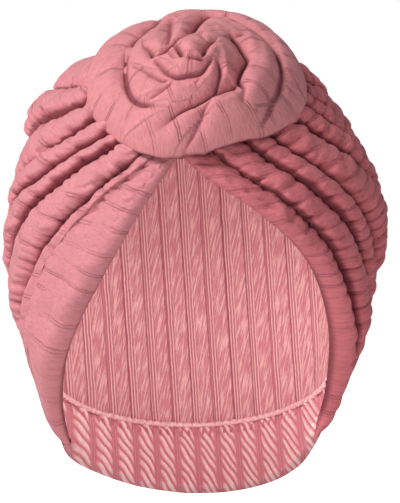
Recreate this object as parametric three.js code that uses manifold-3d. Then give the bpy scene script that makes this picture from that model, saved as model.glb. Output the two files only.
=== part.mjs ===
// A toddler's pre-tied turban cap in dusty-rose rib knit, held open as a head holds it.
// Gathered folds run from under a coiled rosette at the top front down both sides to a plain back
// panel, and a hem is turned up inside the nape.
// Millimetres, +Z up, the face opening toward -Y. The origin is the crown's inner top.
import * as THREE from 'three';
import { mergeVertices } from 'three/addons/utils/BufferGeometryUtils.js';
import Module from 'manifold-3d';

// Head form that the cap's inner face follows: an egg, wider low down and drawn in at the neck
const CENTRE_Z = -80;
const HALF_WIDTH = 68;
const FRONT = 72;
const BACK = 78;
const TOP = 80;
const LOW = 121;
const TOP_ROUNDNESS = 2;
const LOW_ROUNDNESS = 2.7;
const SIDE_LEAN = 0.035;
const SIDE_LEAN_LEVEL = -60;
const NAPE_SHIFT = 22;
const NAPE_DEPTH = 110;

// Cloth and gaps: flat facets lie a little inside the curved faces, which the wraps' gap allows for
const WALL = 2;
const SEW_GAP = 0.3;
const FACET_SAG = 0.5;
const WRAP_INNER = WALL + SEW_GAP + FACET_SAG;
const SEAM_THICKNESS = 5;
const LEAST_FOLD = 1;

// Knot that the folds start from: its elevation on the head form, and the ring where they start
const KNOT_ELEVATION = 61;
const KNOT_RING = 6;
const MEETING_LINE = -10.25;

// Side-back seam where the folds end: degrees from the knot, at the ear corner and its slope
const EAR_CORNER = { fromKnot: 137, round: 44 };
const SEAM_SLOPE = 0.4;
const SEAM_FADE_START = 0.76;

// The wall's grid: columns round the head, rows from the hem's seam to the crown, and how far
// its edge stands back from the folds' front edge
const COLUMNS = 42;
const HEM_ROWS = 3;
const UPPER_ROWS = 6;
const EDGE_SET_BACK = 4.8;
const EDGE_BLEND = 10;
const EDGE_SPACING = 7;
const WALL_APEX = [-7, 31];
const LEFT_NAPE_EDGE = [[98, -63], [120, -66], [150, -70], [180, -72.3]];
const RIGHT_NAPE_EDGE = [[98, -65], [120, -69], [150, -71.8], [180, -72.3]];

// Hem turned up inside the nape: its ends, the latitude of its top, and its overlocked seam
const HEM_END_COLUMN = 9;
const HEM_TOP = { leftEar: -48, rightEar: -46, nape: -54.5 };
const EAR_BAND = 7;
const HEM_SEAM_RISE = 1.6;
const HEM_SEAM_START = 0.15;
const HEM_SEAM_DEPTH = 1.6;

// Folds of each wrap, from the face edge to the crown. A row is the valley in front of a fold:
// degrees round the knot axis at the five stations, the valley's depth, and the fold's height
// above the head form at the same stations.
const STATIONS = [35, 55, 80, 120, 140];
const LEFT_FOLDS = [
  { valley: [11, 22, 31, 42, 41], depth: 0, crest: [7, 9, 11, 11, 5] },
  { valley: [19, 38, 50, 53, 48], depth: 1.2, crest: [9, 11, 13, 13, 6] },
  { valley: [27, 43, 56, 59, 50], depth: 5, crest: [12, 15, 17, 15, 7] },
  { valley: [42, 59, 75, 79, 75], depth: 4.5, crest: [13, 16, 18, 14, 9] },
  { valley: [50, 67, 88, 98, 98], depth: 4, crest: [15, 18, 16, 12, 9] },
  { valley: [62, 78, 100, 112, 112], depth: 3.5, crest: [17, 19, 16, 11, 9] },
  { valley: [76, 101, 119, 128, 128], depth: 3.5, crest: [19, 21, 16, 10, 8] },
  { valley: [92, 124, 140, 146, 146], depth: 2.5, crest: [19, 19, 13, 8, 7] },
  { valley: [124, 150, 160, 164, 164], depth: 2, crest: [14, 13, 9, 6, 6] },
];
const RIGHT_FOLDS = [
  { valley: [-9, 24, 43.5, 50.5, 47], depth: 0, crest: [7, 9, 11, 11, 5] },
  { valley: [10, 37, 52, 56, 50], depth: 4, crest: [10, 12, 14, 13, 6] },
  { valley: [29, 50, 64, 66, 56], depth: 4.5, crest: [12, 15, 16, 14, 7] },
  { valley: [42, 60, 74, 82, 78], depth: 5, crest: [13, 16, 17, 13, 9] },
  { valley: [64, 79, 95, 100, 99], depth: 4.5, crest: [13, 14, 14, 12, 9] },
  { valley: [79, 91, 108, 116, 116], depth: 4, crest: [12, 11.5, 12.5, 11, 9] },
  { valley: [92, 104, 122, 132, 132], depth: 4, crest: [11, 10, 11.5, 10, 8] },
  { valley: [107, 124, 140, 148, 148], depth: 2.5, crest: [11, 10.5, 10.5, 8, 7] },
  { valley: [132, 150, 160, 165, 165], depth: 2, crest: [11, 11, 9, 6, 6] },
];
const CROWN_LINE = 180;
const CENTRE_GAP = 0.5;
const ROLL_LIP = { outer: 1, inner: -0.5, from: [48, 62], to: [108, 122] };
const START_CURVE = 12;
const FOLD_ROUNDNESS = 0.7;
const STEPS_ACROSS_FOLD = 4;
const STEPS_ALONG_FOLD = 12;

// Rosette: its seat on the wraps and the way it faces
const ROSETTE_SEAT = new THREE.Vector3(2, -64, -16);
const ROSETTE_TILT = 42;
const ROSETTE_DOME = 90;

// Coils of the rosette, uppermost first. A row is a station along a coil: right, up the slope,
// height over the dome, half width and half thickness.
const COILS = [
  { name: 'rosette_knob', rows: [
    [-9, 4, 15, 3, 3], [-4, 3, 17.5, 5.2, 5.2], [1, 2, 15, 3, 3]] },
  { name: 'rosette_inner_coil', rows: [
    [14, -8, 8, 3.5, 3], [12, -3, 11, 5.5, 4.5], [10, 4, 13, 5.5, 5], [6, 11, 14, 4, 4.5],
    [-1, 13, 15, 3, 4], [-8, 11, 14, 2.8, 4], [-12, 6, 12, 2.4, 3.5]] },
  { name: 'rosette_crescent', rows: [
    [-19, 8, 10, 2.5, 3], [-14, -1, 12, 3.6, 4], [-6, -5, 13, 4, 4.5], [2, -3, 13, 3.2, 4],
    [6, 2, 12, 2, 3]] },
  { name: 'rosette_petal', rows: [
    [5, 3, 12, 2, 3], [4, -5, 12, 4, 4.5], [2, -13, 10, 4.5, 4.5], [-3, -17, 7, 2.5, 3]] },
  { name: 'rosette_upper_lobe', rows: [
    [-2, 42, 1, 4.5, 5], [-6, 31, 5, 6, 6], [-12, 19, 8, 5, 5.5], [-15, 11, 8, 2.5, 3]] },
  { name: 'rosette_top_left_lobe', rows: [
    [-17, 43, 0, 5, 5], [-19, 31, 4, 7, 6.5], [-20, 18, 7, 5.5, 5.5], [-19, 9, 8, 2.5, 3]] },
  { name: 'rosette_left_lobe', rows: [
    [-28, 27, 2, 3, 4], [-28, 15, 5, 4.5, 5.5], [-21, 5, 7, 4.5, 5], [-12, -3, 8, 2.5, 3]] },
  { name: 'rosette_low_left_lobe', rows: [
    [-30, 6, 2, 3.5, 4], [-25, -6, 4, 6.5, 6], [-18, -8, 6, 5.5, 5], [-11, -6, 7, 2.5, 3]] },
  { name: 'rosette_under_band', rows: [
    [-26, -13, 0, 2.5, 3], [-15, -14, 4, 4.5, 5], [-5, -12, 6, 5.5, 5], [4, -8, 7, 4, 4]] },
  { name: 'rosette_right_coil', rows: [
    [-10, -35, 0, 2, 3], [-1, -30, 1, 5, 6], [11, -23, 2, 8, 7.5], [20, -14, 3, 9, 8],
    [25, -1, 4, 9.3, 8.5], [24, 14, 4, 8.5, 8], [18, 29, 3, 7.5, 7.5], [9, 38, 1, 6.5, 6.5],
    [-1, 41, 0, 4.5, 5]] },
  { name: 'rosette_front_band', rows: [
    [-37, -28, -3, 4, 4], [-28, -27, -1, 5.5, 6], [-17, -25, 1, 6, 6.5], [-7, -23, 2, 6, 6.5],
    [3, -18, 3, 5.5, 6], [11, -12, 3, 4, 5], [16, -5, 2, 2.5, 3]] },
  { name: 'rosette_outer_coil', rows: [
    [37, -2, -3, 4, 5], [38, 14, -2, 6.5, 7], [34, 29, -1, 7, 7], [26, 42, 0, 7, 7],
    [14, 50, 1, 7, 6.5], [1, 52, 1, 7, 6.5], [-12, 49, 1, 7.5, 6.5], [-23, 42, 0, 8.5, 7],
    [-34, 32, -1, 8.5, 7], [-40, 19, -2, 9, 7], [-41, 5, -2, 9, 7], [-37, -7, -1, 8, 7],
    [-27, -17, -1, 5.5, 5.5], [-16, -19, 0, 3, 4]] },
  { name: 'rosette_tail', rows: [
    [39, 8, -7, 3.5, 4], [38, -3, -5, 5, 5], [32, -12, -4, 5, 5], [24, -18, -3, 3, 3.5]] },
];
const COIL_SIDES = 8;
const COIL_STEPS_PER_ROW = 1.5;
const COIL_GAP = 0.4;
const COIL_DEPTH = 1.8;
const COIL_END = 0.4;
const COIL_END_SIZE = 0.5;

// Colours and finish of the knit
const LIT_ROSE = '#dd868e';
const DEEP_ROSE = '#c97680';
const INNER_ROSE = '#e29499';
const HEM_ROSE = '#eda9a9';
const KNIT_ROUGHNESS = 0.9;

const degrees = THREE.MathUtils.degToRad;

// A number between the rows of a table, by a smooth curve that runs on straight past both ends
function along(places, values, at) {
  const last = places.length - 1;
  const slope = (i) => {
    const before = Math.max(i - 1, 0);
    const after = Math.min(i + 1, last);
    return (values[after] - values[before]) / (places[after] - places[before]);
  };
  if (at <= places[0]) return values[0] + slope(0) * (at - places[0]);
  if (at >= places[last]) return values[last] + slope(last) * (at - places[last]);
  const i = places.findIndex((place, n) => at <= places[n + 1]);
  const span = places[i + 1] - places[i];
  const u = (at - places[i]) / span;
  const rise = u * u * (3 - 2 * u);
  const enter = u * (1 - u) * (1 - u) * span * slope(i);
  const leave = u * u * (1 - u) * span * slope(i + 1);
  return values[i] + (values[i + 1] - values[i]) * rise + enter - leave;
}

// The direction at a longitude from the front toward the right, and a latitude
function fromLongitude(longitude, latitude) {
  const turn = degrees(longitude);
  const rise = degrees(latitude);
  const level = Math.cos(rise);
  return new THREE.Vector3(Math.sin(turn) * level, -Math.cos(turn) * level, Math.sin(rise));
}

// The direction at an angle from the knot's axis and an angle round it, from the face to the right
function fromKnot(away, round) {
  const axis = fromLongitude(0, KNOT_ELEVATION);
  const faceward = fromLongitude(0, KNOT_ELEVATION - 90);
  const right = new THREE.Vector3(1, 0, 0);
  const ring = faceward.multiplyScalar(Math.cos(degrees(round)));
  ring.addScaledVector(right, Math.sin(degrees(round)));
  return axis.multiplyScalar(Math.cos(degrees(away))).addScaledVector(ring, Math.sin(degrees(away)));
}

// The point of the head form in a direction, raised from its surface by a height
function onHead(direction, height) {
  const depth = direction.y < 0 ? FRONT : BACK;
  const tall = direction.z > 0 ? TOP : LOW;
  const power = direction.z > 0 ? TOP_ROUNDNESS : LOW_ROUNDNESS;
  const level = (direction.x / HALF_WIDTH) ** 2 + (direction.y / depth) ** 2;
  const sum = level ** (power / 2) + Math.abs(direction.z / tall) ** power;
  const point = direction.clone().multiplyScalar(sum ** (-1 / power));
  const flat = (point.x / HALF_WIDTH) ** 2 + (point.y / depth) ** 2;
  const share = flat > 0 ? flat ** (power / 2 - 1) : 0;
  const normal = new THREE.Vector3(
    (share * point.x) / HALF_WIDTH ** 2,
    (share * point.y) / depth ** 2,
    (Math.abs(point.z / tall) ** (power - 1) * Math.sign(point.z)) / tall,
  ).normalize();
  point.addScaledVector(normal, height);
  point.z += CENTRE_Z;
  point.x += SIDE_LEAN * (point.z - SIDE_LEAN_LEVEL);
  const below = Math.max(0, CENTRE_Z - point.z) / NAPE_DEPTH;
  point.y += NAPE_SHIFT * below * below;
  return point;
}

// The wall's edge as longitudes and latitudes, behind the front edge of the folds and round the nape
function wallEdge() {
  const points = [];
  const sides = [[LEFT_FOLDS, LEFT_NAPE_EDGE, -1], [RIGHT_FOLDS, RIGHT_NAPE_EDGE, 1]];
  for (const [folds, nape, side] of sides) {
    for (let away = STATIONS[0]; away <= STATIONS[4]; away += EDGE_SPACING) {
      const back = EDGE_SET_BACK * THREE.MathUtils.smoothstep(STATIONS[4] - away, 0, EDGE_BLEND);
      const round = along(STATIONS, folds[0].valley, away) + back / Math.sin(degrees(away));
      const direction = fromKnot(away, side * round);
      const longitude = THREE.MathUtils.radToDeg(Math.atan2(direction.x, -direction.y));
      points.push([longitude, THREE.MathUtils.radToDeg(Math.asin(direction.z))]);
    }
    for (const [longitude, latitude] of nape) points.push([side * longitude, latitude]);
  }
  points.push(WALL_APEX);
  return points.sort((a, b) => a[0] - b[0]);
}

const WALL_EDGE = wallEdge();

// Latitude of the wall's edge at a longitude
function edgeLatitude(longitude) {
  const turned = longitude > 180 ? longitude - 360 : longitude;
  return along(WALL_EDGE.map((point) => point[0]), WALL_EDGE.map((point) => point[1]), turned);
}

// One closed body from a list of points and the triangles between them, with its faces turned out
function solidFrom(points, triangles) {
  let volume = 0;
  for (const [a, b, c] of triangles) {
    volume += points[a].dot(new THREE.Vector3().crossVectors(points[b], points[c]));
  }
  const facing = volume > 0 ? triangles : triangles.map(([a, b, c]) => [a, c, b]);
  const geometry = new THREE.BufferGeometry();
  const flat = points.flatMap((point) => [point.x, point.y, point.z]);
  geometry.setAttribute('position', new THREE.Float32BufferAttribute(flat, 3));
  geometry.setIndex(facing.flat());
  return geometry;
}

// A body through a row of closed loops of points, with a fan or a strip over each end
function loft(loops, endOf) {
  const count = loops[0].length;
  const points = loops.flat();
  const triangles = [];
  for (let row = 0; row + 1 < loops.length; row += 1) {
    for (let i = 0; i < count; i += 1) {
      const a = row * count + i;
      const b = row * count + ((i + 1) % count);
      triangles.push([a, b, b + count], [a, b + count, a + count]);
    }
  }
  const last = (loops.length - 1) * count;
  for (const [i, j, k] of endOf(count)) {
    triangles.push([k, j, i], [last + i, last + j, last + k]);
  }
  return solidFrom(points, triangles);
}

// End of a loop that runs out along one face and back along the other
function stripEnd(count) {
  const triangles = [];
  for (let i = 0; i + 1 < count / 2; i += 1) {
    const j = count - 1 - i;
    triangles.push([i, i + 1, j - 1], [i, j - 1, j]);
  }
  return triangles;
}

// End of a small round loop
function fanEnd(count) {
  const triangles = [];
  for (let i = 1; i + 1 < count; i += 1) triangles.push([0, i, i + 1]);
  return triangles;
}

// Latitude of the wall's rows at a column: three steps up the hem, one over its seam, then the rest
function wallLatitude(column, row) {
  const longitude = (360 * column) / COLUMNS;
  const fromNape = Math.abs(longitude - 180);
  const edge = edgeLatitude(longitude);
  const reach = fromNape / (180 - (360 * HEM_END_COLUMN) / COLUMNS);
  const ear = longitude > 180 ? HEM_TOP.leftEar : HEM_TOP.rightEar;
  const hemTop = Math.max(HEM_TOP.nape + (ear - HEM_TOP.nape) * reach * reach, edge + EAR_BAND);
  if (row <= HEM_ROWS) return edge + ((hemTop - edge) * row) / HEM_ROWS;
  const seamTop = hemTop + HEM_SEAM_RISE;
  if (row < HEM_ROWS + 1) return hemTop + HEM_SEAM_RISE * (row - HEM_ROWS);
  return seamTop + ((90 - seamTop) * (row - HEM_ROWS - 1)) / UPPER_ROWS;
}

// A point on the wall's grid at a height over the head form
function onWall(column, row, height) {
  return onHead(fromLongitude((360 * column) / COLUMNS, wallLatitude(column, row)), height);
}

// The cap's wall: inner and outer faces from the edge to the crown, joined along the edge
function capWall() {
  const rows = HEM_ROWS + 1 + UPPER_ROWS;
  const points = [];
  const triangles = [];
  for (const height of [0, WALL]) {
    for (let row = 0; row < rows; row += 1) {
      for (let i = 0; i < COLUMNS; i += 1) points.push(onWall(i, row, height));
    }
    points.push(onHead(fromLongitude(0, 90), height));
  }
  const face = COLUMNS * rows + 1;
  for (let row = 0; row < rows; row += 1) {
    for (let i = 0; i < COLUMNS; i += 1) {
      const next = (i + 1) % COLUMNS;
      const a = row * COLUMNS + i;
      const b = row * COLUMNS + next;
      const crown = row === rows - 1;
      const c = crown ? face - 1 : b + COLUMNS;
      triangles.push([b, a, c], [face + a, face + b, face + c]);
      if (!crown) {
        const d = a + COLUMNS;
        triangles.push([c, a, d], [face + a, face + c, face + d]);
      }
      if (row === 0) triangles.push([a, b, face + b], [a, face + b, face + a]);
    }
  }
  return solidFrom(points, triangles);
}

// A band on the wall's inner face over some of its rows, between two heights
function napeBand(firstRow, lastRow, inner, outer) {
  const loops = [];
  const count = Math.max(Math.round(lastRow - firstRow), 1);
  const rows = [];
  for (let i = 0; i <= count; i += 1) rows.push(firstRow + ((lastRow - firstRow) * i) / count);
  for (let column = HEM_END_COLUMN; column <= COLUMNS - HEM_END_COLUMN; column += 1) {
    const outside = rows.map((row) => onWall(column, row, outer));
    const inside = rows.map((row) => onWall(column, row, inner));
    loops.push([...outside, ...inside.reverse()]);
  }
  return loft(loops, stripEnd);
}

// Degrees round the knot axis of a wrap's valley at a distance from the knot: past the first
// station the valleys draw together under the rosette, and none crosses the line where wraps meet
function valleyAt(row, away, side) {
  const before = Math.max(STATIONS[0] - away, 0);
  const eased = START_CURVE * (1 - Math.exp(-before / START_CURVE));
  const round = along(STATIONS, row.valley, Math.max(away, STATIONS[0] - eased));
  return Math.max(round, side * MEETING_LINE);
}

// Height of a wrap's fold at a distance from the knot
function crestAt(row, away) {
  const place = Math.min(Math.max(away, STATIONS[0]), STATIONS[4]);
  return along(STATIONS, row.crest, place);
}

// Height of the valley in front of fold k, under the lower of the folds on its two sides
function floorAt(folds, k, away) {
  if (k === 0) return WRAP_INNER;
  const behind = k < folds.length ? crestAt(folds[k], away) : Infinity;
  const depth = k < folds.length ? folds[k].depth : 0;
  return Math.min(crestAt(folds[k - 1], away), behind) - depth;
}

// How far the front edge is rolled in over the wall's edge: nothing at the knot and the ear corner
function rolledIn(away) {
  const begins = THREE.MathUtils.smoothstep(away, ...ROLL_LIP.from);
  return begins * (1 - THREE.MathUtils.smoothstep(away, ...ROLL_LIP.to));
}

// One wrap: side is 1 on the right and -1 on the left, spread grows it all round for a cut
function wrap(folds, side, spread = 0) {
  const crown = { valley: STATIONS.map(() => CROWN_LINE) };
  const rows = [...folds, crown];
  const loops = [];
  for (let step = 0; step <= STEPS_ALONG_FOLD; step += 1) {
    const share = step / STEPS_ALONG_FOLD;
    const fade = THREE.MathUtils.smoothstep(share, SEAM_FADE_START, 1);
    const outer = [];
    const inner = [];
    for (let n = 0; n <= folds.length * STEPS_ACROSS_FOLD; n += 1) {
      const k = Math.min(Math.floor(n / STEPS_ACROSS_FOLD), folds.length - 1);
      const u = n / STEPS_ACROSS_FOLD - k;
      const between = (away) => {
        return valleyAt(rows[k], away, side) * (1 - u) + valleyAt(rows[k + 1], away, side) * u;
      };
      const round = between(STATIONS[3]);
      const seam = EAR_CORNER.fromKnot - SEAM_SLOPE * Math.max(0, round - EAR_CORNER.round);
      const longer = THREE.MathUtils.radToDeg(spread / FRONT);
      const away = THREE.MathUtils.lerp(KNOT_RING - longer, seam + longer, share);
      const floor = floorAt(folds, k, away) * (1 - u) + floorAt(folds, k + 1, away) * u;
      const full = floor + (crestAt(folds[k], away) - floor) * Math.sin(Math.PI * u) ** FOLD_ROUNDNESS;
      const raised = THREE.MathUtils.lerp(full, SEAM_THICKNESS, fade);
      const atEdge = n === 0;
      const atCrown = n === folds.length * STEPS_ACROSS_FOLD;
      const aside = THREE.MathUtils.radToDeg((CENTRE_GAP - spread) / FRONT) / Math.sin(degrees(away));
      const turn = between(away) + (atEdge ? aside : 0) - (atCrown ? aside : 0);
      const direction = fromKnot(away, side * turn);
      const rolled = atEdge ? rolledIn(away) : 0;
      const top = THREE.MathUtils.lerp(Math.max(raised, WRAP_INNER + LEAST_FOLD), ROLL_LIP.outer, rolled);
      outer.push(onHead(direction, top + spread));
      inner.push(onHead(direction, THREE.MathUtils.lerp(WRAP_INNER, ROLL_LIP.inner, rolled) - spread));
    }
    loops.push([...outer, ...inner.reverse()]);
  }
  return loft(loops, stripEnd);
}

// A point of the rosette: right and up across its face, and a height over its dome
function onRosette(right, up, height) {
  const tilt = degrees(ROSETTE_TILT);
  const axis = new THREE.Vector3(0, -Math.cos(tilt), Math.sin(tilt));
  const upward = new THREE.Vector3(0, Math.sin(tilt), Math.cos(tilt));
  const sag = (right * right + up * up) / (2 * ROSETTE_DOME);
  const point = ROSETTE_SEAT.clone().addScaledVector(upward, up).addScaledVector(axis, height - sag);
  point.x += right;
  return point;
}

// A padded coil through its stations, an ellipse across its path, grown all round by spread
function coil(rows, spread = 0) {
  const path = new THREE.CatmullRomCurve3(rows.map(([right, up, height]) => onRosette(right, up, height)));
  const steps = Math.round((rows.length - 1) * COIL_STEPS_PER_ROW);
  const middle = onRosette(0, 0, -ROSETTE_DOME);
  const loops = [];
  for (let step = 0; step <= steps; step += 1) {
    const at = step / steps;
    const centre = path.getPoint(at);
    const forward = path.getTangent(at);
    const outward = centre.clone().sub(middle).normalize();
    const across = new THREE.Vector3().crossVectors(forward, outward).normalize();
    const lift = new THREE.Vector3().crossVectors(across, forward);
    const places = rows.map((row, i) => i / (rows.length - 1));
    const wide = along(places, rows.map((row) => row[3]), at) + spread;
    const thick = along(places, rows.map((row) => row[4]), at) + spread;
    const loop = [];
    for (let i = 0; i < COIL_SIDES; i += 1) {
      const turn = (2 * Math.PI * i) / COIL_SIDES;
      const rise = Math.sin(turn) * (Math.sin(turn) < 0 ? thick * COIL_DEPTH : thick);
      const point = centre.clone().addScaledVector(across, wide * Math.cos(turn));
      loop.push(point.addScaledVector(lift, rise));
    }
    const reach = COIL_END * wide + spread;
    if (step === 0) loops.push(shrunk(loop, centre, forward, -reach));
    loops.push(loop);
    if (step === steps) loops.push(shrunk(loop, centre, forward, reach));
  }
  return loft(loops, fanEnd);
}

// A loop drawn in and moved along the path, which rounds a coil's end
function shrunk(loop, centre, forward, distance) {
  return loop.map((point) => point.clone().lerp(centre, 1 - COIL_END_SIZE).addScaledVector(forward, distance));
}

const SAME_POINT = 1e-4;
const wasm = await Module();
wasm.setup();

// The solid that a closed geometry bounds
function toSolid(geometry) {
  const bare = geometry.clone();
  bare.deleteAttribute('normal');
  bare.deleteAttribute('uv');
  const merged = mergeVertices(bare, SAME_POINT);
  return new wasm.Manifold(new wasm.Mesh({
    numProp: 3,
    vertProperties: Float32Array.from(merged.attributes.position.array),
    triVerts: Uint32Array.from(merged.index.array),
  }));
}

// The geometry of a solid's largest piece
function toGeometry(solid) {
  const pieces = solid.decompose();
  pieces.sort((a, b) => b.volume() - a.volume());
  const mesh = pieces[0].getMesh();
  const geometry = new THREE.BufferGeometry();
  geometry.setAttribute('position', new THREE.BufferAttribute(mesh.vertProperties, 3));
  geometry.setIndex(new THREE.BufferAttribute(mesh.triVerts, 1));
  return geometry;
}

// The knit's finish in one of its colours
function knit(color) {
  return new THREE.MeshStandardMaterial({ color, roughness: KNIT_ROUGHNESS, metalness: 0 });
}

const cap = new THREE.Group();

function add(name, geometry, color) {
  const mesh = new THREE.Mesh(geometry, knit(color));
  mesh.name = name;
  cap.add(mesh);
}

add('cap_wall', capWall(), INNER_ROSE);

add('nape_hem', napeBand(0, HEM_ROWS, -SEW_GAP - WALL, -SEW_GAP), HEM_ROSE);
const seamInner = -SEW_GAP - HEM_SEAM_DEPTH;
add('hem_overlock_seam', napeBand(HEM_ROWS + HEM_SEAM_START, HEM_ROWS + 1, seamInner, -SEW_GAP), DEEP_ROSE);

add('left_wrap', wrap(LEFT_FOLDS, -1), LIT_ROSE);
add('right_wrap', wrap(RIGHT_FOLDS, 1), DEEP_ROSE);

let taken = toSolid(wrap(LEFT_FOLDS, -1, COIL_GAP)).add(toSolid(wrap(RIGHT_FOLDS, 1, COIL_GAP)));
for (const { name, rows } of COILS) {
  const shape = toSolid(coil(rows)).subtract(taken);
  add(name, toGeometry(shape), LIT_ROSE);
  taken = taken.add(toSolid(coil(rows, COIL_GAP)));
}

export default cap;
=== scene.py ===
"""Toddler's pre-tied turban cap in dusty-rose rib knit, in the form that a head gives it.

Two gathered wraps run from under a coiled rosette down both sides to a plain back panel, and a
hem is turned up inside the nape. Every length here is in millimetres until a mesh is made.
"""

import math

import bpy
import numpy as np
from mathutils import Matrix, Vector


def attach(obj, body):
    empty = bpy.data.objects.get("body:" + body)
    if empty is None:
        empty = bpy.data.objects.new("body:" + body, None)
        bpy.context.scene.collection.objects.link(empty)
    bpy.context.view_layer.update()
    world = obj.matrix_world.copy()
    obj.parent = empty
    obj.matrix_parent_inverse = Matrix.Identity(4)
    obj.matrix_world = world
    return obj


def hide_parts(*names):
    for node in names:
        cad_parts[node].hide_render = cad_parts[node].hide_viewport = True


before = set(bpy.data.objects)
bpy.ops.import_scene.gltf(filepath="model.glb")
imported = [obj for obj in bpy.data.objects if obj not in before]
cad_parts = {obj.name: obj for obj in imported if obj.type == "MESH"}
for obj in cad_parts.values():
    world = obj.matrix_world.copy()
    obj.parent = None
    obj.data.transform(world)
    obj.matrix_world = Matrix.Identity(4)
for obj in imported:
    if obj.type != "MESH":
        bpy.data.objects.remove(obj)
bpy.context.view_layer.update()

# Head form that the cap's inner face follows, as the solids have it
CENTRE_Z = -80
HALF_WIDTH = 68
FRONT = 72
BACK = 78
TOP = 80
LOW = 121
TOP_ROUNDNESS = 2
LOW_ROUNDNESS = 2.7
SIDE_LEAN = 0.035
SIDE_LEAN_LEVEL = -60
NAPE_SHIFT = 22
NAPE_DEPTH = 110
WALL = 2

# Knot, seams and the wall's edge
KNOT_ELEVATION = 61
KNOT_RING = 6
MEETING_LINE = -10.25
EAR_CORNER = {"left": (135.3, 44), "right": (139, 44)}
EDGE_ENDS = {"left": 134, "right": 141}
SEAM_SLOPE = 0.4
SEAM_THICKNESS = 5
SEAM_FADE_START = 0.76
EDGE_SET_BACK = 4.8
EDGE_BLEND = 10
EDGE_SPACING = 7
WALL_APEX = (-7, 31)
LEFT_NAPE_EDGE = [(98, -63), (120, -66), (150, -70), (180, -72.3)]
RIGHT_NAPE_EDGE = [(98, -65), (120, -69), (150, -71.8), (180, -72.3)]
HEM_END = 77
HEM_TOP = {"left": -44.2, "right": -42.6, "nape": -54.5}
HEM_TOP_BEND = 2.1
EAR_BAND = 0.8

# Folds of each wrap: the valley in front of a fold, its depth and the fold's crest at the stations
STATIONS = [35, 55, 80, 120, 140]
LEFT_FOLDS = [
    ([11, 22, 31, 42, 41], 0, [7, 9, 11, 11, 5]),
    ([19, 38, 50, 53, 48], 1.2, [9, 11, 13, 13, 6]),
    ([27, 43, 56, 59, 50], 5, [12, 15, 16.5, 13.5, 7]),
    ([42, 59, 75, 79, 75], 4.5, [13, 16, 16.8, 14, 9]),
    ([50, 67, 88, 98, 98], 4, [15, 18, 16, 12, 9]),
    ([62, 78, 100, 112, 112], 3.5, [17, 17, 14.5, 11, 9]),
    ([76, 101, 119, 128, 128], 3.5, [19, 21, 16, 10, 8]),
    ([92, 124, 140, 146, 146], 2.5, [19, 19, 13, 8, 7]),
    ([124, 150, 160, 164, 164], 2, [14, 13, 9, 6, 6]),
]
RIGHT_FOLDS = [
    ([-9, 24, 43.5, 50.5, 47], 0, [7, 9, 11, 11, 5]),
    ([10, 37, 52, 56, 50], 4, [10, 12, 14, 13, 6]),
    ([29, 50, 64, 66, 56], 4.5, [12, 15, 14, 11, 7]),
    ([42, 60, 74, 82, 78], 5, [13, 16, 17, 11, 9]),
    ([64, 79, 95, 100, 99], 4.5, [13, 14, 14, 12, 9]),
    ([79, 91, 108, 116, 116], 4, [12, 11.5, 12.5, 11, 9]),
    ([92, 104, 122, 132, 132], 4, [11, 10, 11.5, 10, 8]),
    ([107, 124, 140, 148, 148], 2.5, [11, 10.5, 10.5, 8, 7]),
    ([132, 150, 160, 165, 165], 2, [11, 11, 9, 6, 6]),
]
CROWN_LINE = 180
START_CURVE = 12
# Degrees from the knot where the front edge begins and ends to roll in over the wall's edge and
# where it rolls over the hem, and how far its roll covers the wall's edge
LIP_BEGINS = (48, 62)
LIP_ENDS = (130, 138)
HEM_LIP = (104, 120)
EDGE_COVERED = 2.2

# Knit sizes: rib repeat of the back panel, and along the folds of each side
RIB_REPEAT = 9.45
RIB_LEAN = 0.065
LEFT_REPEAT = 8.8
RIGHT_REPEAT = 6.2
ROSETTE_REPEAT = 10.4

# Rosette: its seat, its tilt, its dome's radius and the middle path of each coil, as how far
# right, how far up and how wide on each side
ROSETTE_SEAT = np.array([2.0, -64.0, -16.0])
ROSETTE_TILT = 42
ROSETTE_DOME = 90
COIL_OFFSET = 4.3
COILS = {
    "rosette_knob": [(-9, 4, 3), (-4, 3, 5.2), (1, 2, 3)],
    "rosette_inner_coil": [
        (14, -8, 3.5), (12, -3, 5.5), (10, 4, 5.5), (6, 11, 4), (-1, 13, 3), (-8, 11, 2.8),
        (-12, 6, 2.4)],
    "rosette_crescent": [(-19, 8, 2.5), (-14, -1, 3.6), (-6, -5, 4), (2, -3, 3.2), (6, 2, 2)],
    "rosette_petal": [(5, 3, 2), (4, -5, 4), (2, -13, 4.5), (-3, -17, 2.5)],
    "rosette_upper_lobe": [(-2, 42, 4.5), (-6, 31, 6), (-12, 19, 5), (-15, 11, 2.5)],
    "rosette_top_left_lobe": [(-17, 43, 5), (-19, 31, 7), (-20, 18, 5.5), (-19, 9, 2.5)],
    "rosette_left_lobe": [(-28, 27, 3), (-28, 15, 4.5), (-21, 5, 4.5), (-12, -3, 2.5)],
    "rosette_low_left_lobe": [(-30, 6, 3.5), (-25, -6, 6.5), (-18, -8, 5.5), (-11, -6, 2.5)],
    "rosette_under_band": [(-26, -13, 2.5), (-15, -14, 4.5), (-5, -12, 5.5), (4, -8, 4)],
    "rosette_right_coil": [
        (-10, -35, 2), (-1, -30, 5), (11, -23, 8), (20, -14, 9), (25, -1, 9.3), (24, 14, 8.5),
        (18, 29, 7.5), (9, 38, 6.5), (-1, 41, 4.5)],
    "rosette_front_band": [
        (-37, -28, 4), (-28, -27, 5.5), (-17, -25, 6), (-7, -23, 6), (3, -18, 5.5), (11, -12, 4),
        (16, -5, 2.5)],
    "rosette_outer_coil": [
        (40, 9, 4), (38, 17, 6.5), (34, 29, 7), (26, 42, 7), (14, 50, 7), (1, 52, 7),
        (-12, 49, 7.5), (-23, 42, 8.5), (-34, 32, 8.5), (-40, 19, 9), (-41, 5, 9), (-37, -7, 8),
        (-27, -17, 5.5), (-16, -19, 3)],
    "rosette_tail": [(39, 8, 3.5), (38, -3, 5), (32, -12, 5), (24, -18, 3)],
}


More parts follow.
